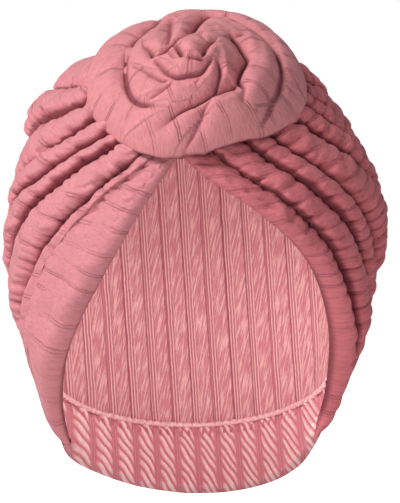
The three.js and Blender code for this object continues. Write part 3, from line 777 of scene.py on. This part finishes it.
# Creases of the rosette, each with its reach on both sides and how much higher its left side
# lies, walking along it, in mm; then its places in the photo in pixels with the depth in mm
CREASES = {
    "left groove": (10, 1.2, [
        (163, 13, 1.5), (158, 22, 4), (150, 29, 5), (141, 36, 5), (133, 43, 4.6), (128, 53, 4.8),
        (126, 64, 5), (126, 75, 5), (128, 86, 5), (132, 95, 5), (138, 101, 4.6), (145, 104, 4),
        (154, 107, 2.2), (167, 109, 1.5), (180, 111, 1.5)]),
    "inner disc, upper edge": (7.5, -0.4, [
        (225, 19, 2), (209, 17.5, 4), (198, 23, 5), (194, 29, 5.5), (189, 35, 5), (178, 39.5, 6.5),
        (169, 46, 6.5), (164, 51, 7), (157, 58, 5), (155, 61, 4.5)]),
    "inner disc, lower edge": (7, 0.6, [
        (155, 61, 4.5), (160, 66, 3), (167, 72, 3.6), (178, 77.5, 4.2), (190, 75.5, 4),
        (201, 72, 4), (207, 65, 3.5), (215, 57, 2.5)]),
    "left lobes": (7, 0, [(142, 40, 1.2), (143, 48, 1.5), (150, 52, 3.5), (155, 61, 4.5)]),
    "upper lobes": (7, 1.2, [(174, 20, 1.5), (171, 27, 3), (170, 37, 3.5), (167, 46, 4)]),
    "lower left lobes": (7, 0.3, [
        (130, 66, 3), (138, 70, 2.2), (146, 74, 2.4), (156, 78.5, 2.6), (164, 81, 3), (174, 79, 2)]),
    "under band, upper edge": (7, -0.8, [
        (145, 102, 4), (154, 98, 2.8), (162, 92.5, 2.8), (170, 86, 2.5), (178, 80, 1.8)]),
    "knob, left": (4.5, 1.2, [(173, 43, 2), (178, 50, 4), (182, 57, 4), (187, 61, 3)]),
    "knob, right": (4.5, -1, [
        (201, 62, 3), (203, 57, 5), (206, 50, 3.6), (212, 45, 2.4), (220, 42, 1.2)]),
    "knob, foot": (4, 1, [(184, 60, 3), (193, 60.5, 2.6), (203, 61, 3.5), (209, 61, 2)]),
    "knob, head": (4, -0.5, [(179, 44, 1.5), (188, 38, 1.2), (198, 37, 1.4), (207, 46, 1.5)]),
    "crescent": (4, 0.6, [(160, 55, 1.5), (168, 53, 2), (173, 58, 2), (181, 62, 1.5)]),
    "petal, right": (6, 0.6, [
        (214, 57, 2), (218, 63, 3.6), (220, 71, 4), (218, 81, 4), (215, 90, 4.5), (210, 96, 4)]),
    "petal, left": (5, 0.6, [(202, 71, 3), (200, 77, 2.6), (197, 84, 2), (194, 90, 0.8)]),
    "right lobe, inner edge": (7.5, 1.4, [
        (226, 36, 2), (232, 38, 5), (238, 43, 6), (243, 51, 6.5), (247, 59, 6.5), (242, 67, 6.5),
        (239, 75, 6.5), (239, 80, 6), (244, 90, 3), (244, 98, 2.2), (241, 110, 1)]),
    "right lobe, spur": (4, 0, [(232, 38, 4), (241, 38.5, 2.5), (250, 38.5, 1)]),
    "front band, upper edge": (9, -1.6, [
        (132, 137, 0.4), (141, 134, 0.8), (150, 131, 1.4), (160, 126, 2.2), (171, 118.5, 3.4),
        (183, 110, 4.5), (200, 101, 5), (213, 93, 5.5), (223, 89, 6), (233, 85, 6), (239, 80, 6)]),
    "front band, fold": (9, 1.6, [
        (214, 95, 2), (208, 104, 3), (202, 116, 3.4), (196, 127, 4), (187, 138.5, 5),
        (176, 150, 5), (173, 154, 5)]),
    "right lobe, outer edge": (7.5, -1.2, [
        (217, 18, 2), (233, 21, 2.2), (244, 27, 3), (256, 33, 3), (266, 41, 4.5), (274, 49, 6),
        (279, 59, 5.5), (281, 72, 5), (279, 83, 5), (275, 94, 4.5), (269, 106, 4.5),
        (263, 115, 3.5), (257, 122, 2)]),
    "outer coil, tuck": (4.5, 0, [(281, 51, 3), (287, 53.5, 2.6), (293, 56, 1)]),
    "tail, upper edge": (5, -1, [(282, 78, 3), (290, 83, 2.6), (301, 88, 2)]),
}


TILT = math.radians(ROSETTE_TILT)
ROSETTE_AXIS = np.array([0, -math.cos(TILT), math.sin(TILT)])
ROSETTE_UP = np.array([0, math.sin(TILT), math.cos(TILT)])


def sag(right, up):
    """How far the rosette's dome falls away: the distance from its middle squared, over twice the
    dome's radius."""
    return (right * right + up * up) / (2 * ROSETTE_DOME)


def on_rosette(right, up, height):
    """Points of the rosette: right and up across its face, and a height over its dome."""
    over = height - sag(right, up)
    point = ROSETTE_SEAT + up[..., None] * ROSETTE_UP + over[..., None] * ROSETTE_AXIS
    point[..., 0] += right
    return point


def crest_over(right, up):
    """Height of the rosette's lobes over its dome: it falls off from the knob outward and leans."""
    out = np.hypot(right - ROSETTE_MIDDLE[0], up - ROSETTE_MIDDLE[1])
    return along(CREST_AT, CREST, out) + CREST_LEAN * right


def read_from_photo(x, y):
    """Places across and up the rosette's face which the camera sees at these pixels: its ray is
    cut with the face at the height found for the last guess, eight times over."""
    ray = np.stack([(x - PHOTO_MIDDLE[0]) * MM_PER_PIXEL / -CAMERA[1], np.ones_like(x),
                    (PHOTO_MIDDLE[1] - y) * MM_PER_PIXEL / -CAMERA[1]], -1)
    right, up = 0 * x, 0 * y
    for _ in range(8):
        height = crest_over(right, up) - CREASE_FLOOR - sag(right, up)
        far = (height - (CAMERA - ROSETTE_SEAT) @ ROSETTE_AXIS) / (ray @ ROSETTE_AXIS)
        place = CAMERA + far[:, None] * ray - ROSETTE_SEAT
        right, up = place[:, 0], place @ ROSETTE_UP
    return right, up


def beside(right, up, x, y):
    """The step of a path that is nearest to each place, and how far the place lies ahead of that
    step and to its left."""
    slope = np.stack([np.gradient(x), np.gradient(y)], -1)
    slope /= np.linalg.norm(slope, axis=1, keepdims=True)
    nearest = [np.argmin((r[:, None] - x) ** 2 + (u[:, None] - y) ** 2, 1) for r, u in zip(right, up)]
    i = np.stack(nearest)
    off_x, off_y = right - x[i], up - y[i]
    ahead = off_x * slope[i, 0] + off_y * slope[i, 1]
    left = off_y * slope[i, 0] - off_x * slope[i, 1]
    return i, ahead, left


def nearest_coils(right, up):
    """Each place's travel along its coil, its place across it, and how far it is from the crease
    with the next coil. A place's coil is the one whose middle path is nearest for its width."""
    far = np.full(right.shape, 1e3)
    first = {"widths": far, "wide": far, "travel": 0 * far, "across": 0 * far}
    second = dict(first)
    start = 0.0
    fine = np.linspace(0, 1, 400)
    for rows in COILS.values():
        places = np.linspace(0, 1, len(rows))
        line = np.stack([along(places, column, fine) for column in zip(*rows)], -1)
        walked = distance_along(line[:, :2])
        steps = np.linspace(0, walked[-1], int(walked[-1] / PATH_STEP))
        x, y, wide = (np.interp(steps, walked, column) for column in line.T)
        i, ahead, left = beside(right, up, x, y)
        onward = np.clip(ahead, -PATH_STEP, PATH_STEP)
        apart = np.sqrt(np.maximum(ahead ** 2 + left ** 2 - onward ** 2, 0))
        at = steps[i] + onward
        own = {"wide": np.interp(at, steps, wide), "travel": start + at, "across": -apart * np.sign(left)}
        own["widths"] = apart / own["wide"]
        closer = own["widths"] < first["widths"]
        next_closer = own["widths"] < second["widths"]
        for key in first:
            second[key] = np.where(closer, first[key], np.where(next_closer, own[key], second[key]))
            first[key] = np.where(closer, own[key], first[key])
        start += walked[-1] + COIL_OFFSET
    crease = (second["widths"] - first["widths"]) / (1 / first["wide"] + 1 / second["wide"])
    return first["travel"], first["across"], crease


def creased(right, up):
    """How far the face sinks at its creases, how much one side stands over the other, and how much shade
    is painted at each place along a crease. A crease's wall is a quarter circle of the distance, where two
    meet the cube root of their cubes' sum is taken, and the painted shade is two bell curves."""
    sink, stand, painted_crease_shade = 0 * right, 0 * right, 0 * right
    for reach, lift, rows in CREASES.values():
        table = np.array(rows, float)
        x, y = read_from_photo(table[:, 0], table[:, 1])
        walked = distance_along(np.stack([x, y], -1))
        steps = np.linspace(0, walked[-1], int(walked[-1] / PATH_STEP))
        line_x, line_y, depth = (along(walked, column, steps) for column in (x, y, table[:, 2]))
        for from_end in (steps, walked[-1] - steps):
            depth = depth * smoothstep(from_end, -1, CREASE_FADE)
        i, ahead, left = beside(right, up, line_x, line_y)
        apart = np.hypot(ahead, left)
        risen = (1 - (1 - np.clip(apart / reach, 0, 1)) ** 2) ** CREASE_ROUNDNESS
        sink = (sink ** 3 + (CREASE_DEEPER * depth[i] * (1 - risen)) ** 3) ** (1 / 3)
        share = depth[i] / table[:, 2].max()
        close = share * (1 - smoothstep(apart, 0.4 * reach, 1.6 * reach))
        stand = stand + lift * close * (smoothstep(left, -0.6, 0.6) - 0.5)
        # painted shade: a dark line along the crease and a wider gloom beside it
        dark = np.exp(-(apart / CREASE_SHADE) ** 2) + GLOOM_SHARE * np.exp(-(apart / CREASE_GLOOM) ** 2)
        painted_crease_shade = np.maximum(painted_crease_shade, np.minimum(1, depth[i] / FULL_SHADE_DEPTH) * dark)
    return sink, stand, painted_crease_shade


def round_the_rim(values, angle):
    """A value at each angle round the rosette, from twelve that stand every thirty degrees."""
    return along(np.arange(-60, 421, 30), [values[n % 12] for n in range(-2, 15)], angle)


def rosette_cloth():
    """The rosette as one closed cushion of coiled cloth: a cone of lobes over a dome, sunk along
    its creases. Its rim turns down in a round flank into the wraps. Rib lines cross each coil
    and start afresh in the next."""
    angle = np.linspace(0, 360, ROSETTE_COLUMNS, endpoint=False)[None, :]
    turn = np.radians(np.linspace(0, 90, FLANK_ROWS + 1))[1:, None]
    foot = np.linspace(0, 1, FOOT_ROWS + 1)[1:, None]
    under = np.linspace(0.8, 0.02, UNDER_ROWS)[:, None]
    rim = round_the_rim(RIM, angle)
    flat = rim - RIM_ROUNDNESS
    below = np.maximum(0, -np.sin(np.radians(angle)))
    base = rim - (FOOT_DRAWN_IN[0] + FOOT_DRAWN_IN[1] * below)
    radius = np.concatenate([
        np.maximum(0.2, flat * np.linspace(0, 1, FACE_ROWS)[:, None] ** 0.9),
        flat + RIM_ROUNDNESS * np.sin(turn),
        lerp(rim, base, foot),
        base * under])
    right = ROSETTE_MIDDLE[0] + radius * np.cos(np.radians(angle))
    up = ROSETTE_MIDDLE[1] + radius * np.sin(np.radians(angle))
    travel, across, crease = nearest_coils(right, up)
    sink, stand, painted_crease_shade = creased(right, up)
    at_rim = smoothstep(radius / rim, 0.9, 1)

    # the creased cone, smoothed once over its neighbours, then the knit's relief
    height = crest_over(right, up) + stand - sink * (1 - 0.65 * at_rim)
    height = 0.5 * height + 0.25 * (np.roll(height, 1, 1) + np.roll(height, -1, 1))
    height[1:-1] = 0.5 * height[1:-1] + 0.25 * (height[2:] + height[:-2])
    travel = travel + COIL_DRIFT * waves(right, up, COIL_DRIFT_WAVES, COIL_SEED)
    in_coil = smoothstep(crease, 0, 3)
    height = height + COIL_RELIEF * in_coil * (puckers(travel, ROSETTE_REPEAT) - PUCKER_MEAN)
    height = height + COIL_UNEVEN * waves(right, up, COIL_UNEVEN_WAVES, COIL_SEED + 1)
    wrinkles = waves(COIL_WRINKLE_STRETCH * travel, across, COIL_WRINKLE_WAVES, COIL_SEED + 2)
    height = height + COIL_WRINKLE * in_coil * wrinkles
    height = height - round_the_rim(RIM_DROP, angle) * smoothstep(radius / rim, 0.7, 1)

    # the flank turns down from the rim, and the foot goes straight down to a flat under side
    top = height[FACE_ROWS - 1]
    flank = height[FACE_ROWS:FACE_ROWS + FLANK_ROWS]
    height = np.concatenate([
        height[:FACE_ROWS],
        lerp(flank, top, 0.4) - RIM_ROUNDNESS * (1 - np.cos(turn)),
        lerp(top - RIM_ROUNDNESS, FLANK_FOOT, foot),
        FLANK_FOOT + 0 * (under + top)])
    fall = np.concatenate([np.zeros((FACE_ROWS, 1)), 1 - np.cos(turn), 1 + 0 * foot, 1 + 0 * under])
    # painted shade along the creases, halved toward the rim, and painted shade over the lower flank, the
    # foot and the under side
    painted_shade = np.clip(painted_crease_shade * (1 - 0.5 * at_rim) + smoothstep(fall, 0.8, 1), 0, 1)
    cloth = np.stack([travel, across], -1)
    return cloth_piece("rosette_cloth", on_rosette(right, up, height), cloth, painted_shade, tube=True)


# Materials

SMOOTH = {"interpolation_type": "SMOOTHSTEP"}
# Depth in metres of the knit's finest relief
BUMP_DEPTH = 0.0006

# Random patterns in waves a millimetre: rib lines fade over patches 11 mm wide and waver every
# 3 mm, and tufts of the nap are a millimetre wide and two long
FADED_PATCH = 0.09
PANEL_PATCH = 0.12
LINE_WAVER = 0.35
FOLD_NAP = 0.9
PANEL_NAP = 1.0
PANEL_STREAK = 1.25
# Flecks of the thread in waves a metre, since it has no cloth coordinates
THREAD_FLECK = 900.0

# Half of the double line that crosses a fold, and half of what parts the panel's and the hem's
# fine upright lines, in millimetres
DOUBLE_LINE = 0.55
PANEL_LINES = 0.64
HEM_LINES = 0.6


def linear(hexa):
    """An sRGB hex colour as linear red, green and blue, with full alpha."""
    parts = [int(hexa[i:i + 2], 16) / 255 for i in (1, 3, 5)]
    return tuple(c / 12.92 if c <= 0.04045 else ((c + 0.055) / 1.055) ** 2.4 for c in parts) + (1.0,)


def add_node(tree, kind, inputs=(), out=0, **settings):
    """Adds a node with its settings and returns its first output, or the one named. Its inputs
    are a list in order or a dictionary by name, each a value or another node's output."""
    made = tree.nodes.new(kind)
    for key, value in settings.items():
        setattr(made, key, value)
    for key, value in (inputs.items() if isinstance(inputs, dict) else enumerate(inputs)):
        if isinstance(value, bpy.types.NodeSocket):
            tree.links.new(value, made.inputs[key])
        else:
            made.inputs[key].default_value = value
    return made.outputs[out] if len(made.outputs) else None


def new_material(name):
    """An empty node material and its tree."""
    material = bpy.data.materials.new(name)
    material.use_nodes = True
    material.node_tree.nodes.clear()
    return material, material.node_tree


def cloth_place(tree):
    """The cloth's own place in millimetres: as a vector, then its two coordinates."""
    place = add_node(tree, "ShaderNodeUVMap", uv_map="cloth")
    along_it = add_node(tree, "ShaderNodeSeparateXYZ", [place], "X")
    return place, along_it, along_it.node.outputs["Y"]


def brushed_nap(tree, place, squeeze, tufts, detail, turn=0.0):
    """The nap's tufts: a soft noise squeezed along the first coordinate and drawn out along the
    second."""
    drawn_out = add_node(tree, "ShaderNodeMapping", {
        "Vector": place, "Rotation": (0, 0, turn), "Scale": (squeeze, 0.5, 1.0)})
    return add_node(tree, "ShaderNodeTexNoise", {
        "Vector": drawn_out, "Scale": tufts, "Detail": detail, "Roughness": 0.7}, "Fac")


def finish_cloth(tree, base, laid_tones, height, bump, sheen):
    """A rough cotton surface: a base colour, other tones laid over it in turn by their shares, a
    bump of that strength, and a soft nap."""
    tone = linear(base)
    for share, colour in laid_tones:
        tone = add_node(tree, "ShaderNodeMix", {"Factor": share, "A": tone, "B": linear(colour)}, "Result",
                        data_type="RGBA")
    relief = add_node(tree, "ShaderNodeBump", {"Strength": bump, "Distance": BUMP_DEPTH, "Height": height})
    shader = add_node(tree, "ShaderNodeBsdfPrincipled", {
        "Base Color": tone, "Roughness": 0.88, "Specular IOR Level": 0.25, "Sheen Weight": sheen,
        "Sheen Roughness": 0.45, "Sheen Tint": linear("#F4C6C8"), "Normal": relief})
    add_node(tree, "ShaderNodeOutputMaterial", {"Surface": shader})


def fold_knit(name, lit, line, valley_shade_tone, repeat, drawn_by):
    """Cotton rib knit, brushed inside: a matt dusty rose, mottled by its nap, whose thin double rib lines
    cross each fold, with shade painted as a darker tone down in the folds and creases."""
    material, tree = new_material(name)
    place, travel, _ = cloth_place(tree)
    slow = add_node(tree, "ShaderNodeTexNoise", {"Vector": place, "Scale": FADED_PATCH}, "Fac")
    quick = add_node(tree, "ShaderNodeTexNoise", {"Vector": place, "Scale": LINE_WAVER}, "Fac")
    waver = add_node(tree, "ShaderNodeMath", [quick, 0.5], operation="SUBTRACT")
    at = add_node(tree, "ShaderNodeMath", [travel, waver], operation="ADD")
    near = add_node(tree, "ShaderNodeMath", [at, repeat / 2], operation="PINGPONG")
    off_line = add_node(tree, "ShaderNodeMath", [near, DOUBLE_LINE], operation="SUBTRACT")
    off_line = add_node(tree, "ShaderNodeMath", [off_line], operation="ABSOLUTE")
    line_share = add_node(tree, "ShaderNodeMapRange", [off_line, 0.4, 0.05], **SMOOTH)
    strength = add_node(tree, "ShaderNodeMapRange", [slow, 0.36, 0.62, 0.0, drawn_by], **SMOOTH)
    drawn = add_node(tree, "ShaderNodeMath", [line_share, strength], operation="MULTIPLY")
    nap = brushed_nap(tree, place, 1.3, FOLD_NAP, 5.0)
    mottle = add_node(tree, "ShaderNodeMapRange", [nap, 0.38, 0.72, 0.0, 0.4], **SMOOTH)
    # shade painted down in the folds and creases, as a darker tone
    painted_shade = add_node(tree, "ShaderNodeAttribute", out="Fac", attribute_name="painted_shade")
    dark = add_node(tree, "ShaderNodeMapRange", [painted_shade, 0.1, 1.0, 0.0, 0.75], **SMOOTH)
    height = add_node(tree, "ShaderNodeMath", [drawn, -1.8, nap], operation="MULTIPLY_ADD")
    finish_cloth(tree, lit, [(mottle, line), (drawn, line), (dark, valley_shade_tone)], height, 0.85, 0.18)
    return material


def panel_knit(name, light, body, line):
    """The same rib knit stretched flat: upright ribs of one dark furrow, two fine lines and a
    panel of slanted strands."""
    material, tree = new_material(name)
    place, side, up = cloth_place(tree)
    slow = add_node(tree, "ShaderNodeTexNoise", {"Vector": place, "Scale": PANEL_PATCH}, "Fac")
    waver = add_node(tree, "ShaderNodeMath", [slow, 0.6, -0.3], operation="MULTIPLY_ADD")
    at = add_node(tree, "ShaderNodeMath", [side, waver], operation="ADD")
    share = add_node(tree, "ShaderNodeMath", [at, RIB_REPEAT], operation="DIVIDE")
    share = add_node(tree, "ShaderNodeMath", [share], operation="FRACT")
    off_furrow = add_node(tree, "ShaderNodeMath", [share, 0.5], operation="PINGPONG")
    furrow = add_node(tree, "ShaderNodeMapRange", [off_furrow, 0.05, 0.01], **SMOOTH)
    upright = add_node(tree, "ShaderNodeMapRange", [share, 0.44, 0.36], **SMOOTH)
    stripe = add_node(tree, "ShaderNodeMath", [at, PANEL_LINES], operation="PINGPONG")
    stripe = add_node(tree, "ShaderNodeMapRange", [stripe, 0.15, 0.45], **SMOOTH)
    fine = add_node(tree, "ShaderNodeMath", [stripe, upright], operation="MULTIPLY")
    between = add_node(tree, "ShaderNodeMath", [upright, fine], operation="SUBTRACT")
    leaned = add_node(tree, "ShaderNodeMath", [up, -0.26, side], operation="MULTIPLY_ADD")
    drawn_out = add_node(tree, "ShaderNodeMath", [up, 0.09], operation="MULTIPLY")
    streak_at = add_node(tree, "ShaderNodeCombineXYZ", [leaned, drawn_out])
    streak = add_node(tree, "ShaderNodeTexNoise", {
        "Vector": streak_at, "Scale": PANEL_STREAK, "Detail": 1.0, "Roughness": 0.4}, "Fac")
    strands = add_node(tree, "ShaderNodeMapRange", [streak, 0.38, 0.63, 0.0, 0.76], **SMOOTH)
    in_panel = add_node(tree, "ShaderNodeMapRange", [share, 0.2, 0.36], **SMOOTH)
    strands = add_node(tree, "ShaderNodeMath", [strands, in_panel], operation="MULTIPLY")
    bright = add_node(tree, "ShaderNodeMath", [fine, 0.85], operation="MULTIPLY")
    raised = add_node(tree, "ShaderNodeMath", [strands, bright], operation="MAXIMUM")
    nap = brushed_nap(tree, place, 1.6, PANEL_NAP, 4.0)
    mottle = add_node(tree, "ShaderNodeMapRange", [nap, 0.4, 0.75, 0.0, 0.35], **SMOOTH)
    between = add_node(tree, "ShaderNodeMath", [between, 0.45], operation="MULTIPLY")
    dark = add_node(tree, "ShaderNodeMath", [furrow, 0.75], operation="MULTIPLY")
    height = add_node(tree, "ShaderNodeMath", [nap, 0.5, raised], operation="MULTIPLY_ADD")
    height = add_node(tree, "ShaderNodeMath", [height, furrow], operation="SUBTRACT")
    laid_tones = [(raised, light), (mottle, line), (between, line), (dark, line)]
    finish_cloth(tree, body, laid_tones, height, 0.8, 0.2)
    return material


def hem_knit(name, light, body, groove_shade_tone):
    """The knit's face side, thicker and paler: plaited ribs stand up between furrows, and shade is painted
    as a darker tone in the furrows, between the strands and in the overlock's dents.
    """
    material, tree = new_material(name)
    place, side, _ = cloth_place(tree)
    share = add_node(tree, "ShaderNodeMath", [side, RIB_REPEAT], operation="DIVIDE")
    share = add_node(tree, "ShaderNodeMath", [share], operation="FRACT")
    upright = add_node(tree, "ShaderNodeMapRange", [share, 0.32, 0.22], **SMOOTH)
    lines = add_node(tree, "ShaderNodeMath", [side, HEM_LINES], operation="PINGPONG")
    lines = add_node(tree, "ShaderNodeMapRange", [lines, 0.25, 0.05, 0.0, 0.5], **SMOOTH)
    lines = add_node(tree, "ShaderNodeMath", [lines, upright], operation="MULTIPLY")
    nap = brushed_nap(tree, place, 1.6, PANEL_NAP, 4.0, turn=0.59)
    mottle = add_node(tree, "ShaderNodeMapRange", [nap, 0.35, 0.7], **SMOOTH)
    painted_shade = add_node(tree, "ShaderNodeAttribute", out="Fac", attribute_name="painted_shade")
    dark = add_node(tree, "ShaderNodeMapRange", [painted_shade, 0.1, 0.8], **SMOOTH)
    height = add_node(tree, "ShaderNodeMath", [lines, 1.2, nap], operation="MULTIPLY_ADD")
    finish_cloth(tree, light, [(mottle, body), (dark, groove_shade_tone), (lines, body)], height, 0.9, 0.2)
    return material


def thread(name, light, dark):
    """Spun polyester overlocking thread: pale and a little silky, twisted into fine strands."""
    material, tree = new_material(name)
    place = add_node(tree, "ShaderNodeTexCoord", out="Object")
    fleck = add_node(tree, "ShaderNodeTexNoise", {
        "Vector": place, "Scale": THREAD_FLECK, "Detail": 3.0}, "Fac")
    mottle = add_node(tree, "ShaderNodeMapRange", [fleck, 0.35, 0.7], **SMOOTH)
    finish_cloth(tree, light, [(mottle, dark)], fleck, 0.5, 0.15)
    return material


# Each fold knit's last colour is the shade painted down in its folds and creases.
LEFT_KNIT = fold_knit("rib_knit_left_folds", "#E0939B", "#B9606A", "#75222F", LEFT_REPEAT, 0.45)
# The right folds' copy of the knit is darker and redder than the left's: shade is painted into all its
# colours.
RIGHT_SHADED_KNIT = fold_knit("rib_knit_right_folds_shaded", "#DE7F87", "#AA4A55", "#6C2632", RIGHT_REPEAT, 0.4)
ROSETTE_KNIT = fold_knit("rib_knit_rosette", "#E3949A", "#B8606A", "#78293A", ROSETTE_REPEAT, 0.6)
PANEL_KNIT = panel_knit("rib_knit_back_panel", "#F0BFBC", "#CD838A", "#B25060")
# its last colour is the shade painted in the furrows, between the strands and in the dents
HEM_KNIT = hem_knit("raised_rib_knit_hem", "#F8DAD7", "#EBB8B8", "#CF7883")
OVERLOCK = thread("overlock_thread", "#F0C4C2", "#DE9CA1")


def dress(piece, material, slot, *nodes):
    """Gives a piece its material and its body, and hides the solids that it stands for; the slot is not
    used.
    """
    piece.data.materials.append(material)
    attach(piece, "root")
    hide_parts(*nodes)
    return piece


left = dress(wrap_cloth("left_wrap_cloth", LEFT_WRAP), LEFT_KNIT, "rose_rib_knit", "left_wrap")
right = dress(wrap_cloth("right_wrap_cloth", RIGHT_WRAP), RIGHT_SHADED_KNIT, "rose_rib_knit", "right_wrap")
wall = dress(wall_cloth(), PANEL_KNIT, "rose_rib_knit", "cap_wall")
hem = dress(hem_cloth(), HEM_KNIT, "raised_rib_knit", "nape_hem")
dress(overlock_thread(), OVERLOCK, "overlock_thread", "hem_overlock_seam")
rosette = dress(rosette_cloth(), ROSETTE_KNIT, "rose_rib_knit", *COILS)


# Floor, light and camera, in metres

FLOOR_LEVEL = -0.215
CAP_MIDDLE = (0, 0, -0.09)
ROOM_LIGHT = 0.29
SENSOR = 36


def floor():
    """A plain pale floor under the cap, which glows white in the camera's own rays."""
    bpy.ops.mesh.primitive_plane_add(size=8, location=(0, 0, FLOOR_LEVEL))
    plane = bpy.context.object
    plane.name = "floor"
    material, tree = new_material("pale_paper")
    seen = add_node(tree, "ShaderNodeLightPath", out="Is Camera Ray")
    glow = add_node(tree, "ShaderNodeMath", [seen, 0.8], operation="MULTIPLY")
    shader = add_node(tree, "ShaderNodeBsdfPrincipled", {
        "Base Color": linear("#F6F5F4"), "Roughness": 0.9, "Emission Color": linear("#FFFFFF"),
        "Emission Strength": glow})
    add_node(tree, "ShaderNodeOutputMaterial", {"Surface": shader})
    plane.data.materials.append(material)


def pale_room():
    """A white room: its backdrop is full white, and its light on the cap is soft and weaker."""
    world = bpy.data.worlds.new("pale_room")
    world.use_nodes = True
    tree = world.node_tree
    tree.nodes.clear()
    seen = add_node(tree, "ShaderNodeLightPath", out="Is Camera Ray")
    strength = add_node(tree, "ShaderNodeMath", [seen, 1.0 - ROOM_LIGHT, ROOM_LIGHT],
                        operation="MULTIPLY_ADD")
    back = add_node(tree, "ShaderNodeBackground", {"Color": linear("#FFFFFF"), "Strength": strength})
    add_node(tree, "ShaderNodeOutputWorld", {"Surface": back})
    bpy.context.scene.world = world


def soft_light(name, place, size, power, colour, target=CAP_MIDDLE):
    """A square soft box at a place, aimed at the cap."""
    data = bpy.data.lights.new(name, "AREA")
    data.size = size
    data.energy = power
    data.color = linear(colour)[:3]
    lamp = bpy.data.objects.new(name, data)
    lamp.location = place
    lamp.rotation_euler = (Vector(target) - Vector(place)).to_track_quat("-Z", "Y").to_euler()
    bpy.context.scene.collection.objects.link(lamp)


floor()
pale_room()
soft_light("key_softbox", (-1.1, -0.9, 1.05), 0.75, 24.5, "#FFFDFA")
soft_light("front_softbox", (-0.5, -1.8, 0.2), 0.8, 4.2, "#FFF6F4")
soft_light("opening_softbox", (0, -0.004, -0.12), 0.1, 0.061, "#FFFFFF", target=(0, 0.08, -0.12))

camera = bpy.data.cameras.new("camera")
camera.sensor_width = SENSOR
camera.lens = SENSOR * -CAMERA[1] / (PHOTO_HEIGHT * MM_PER_PIXEL)
eye = bpy.data.objects.new("camera", camera)
eye.location = CAMERA / 1000
eye.rotation_euler = (math.radians(90), 0, 0)
bpy.context.scene.collection.objects.link(eye)
bpy.context.scene.camera = eye
bpy.context.scene.view_settings.view_transform = "Standard"
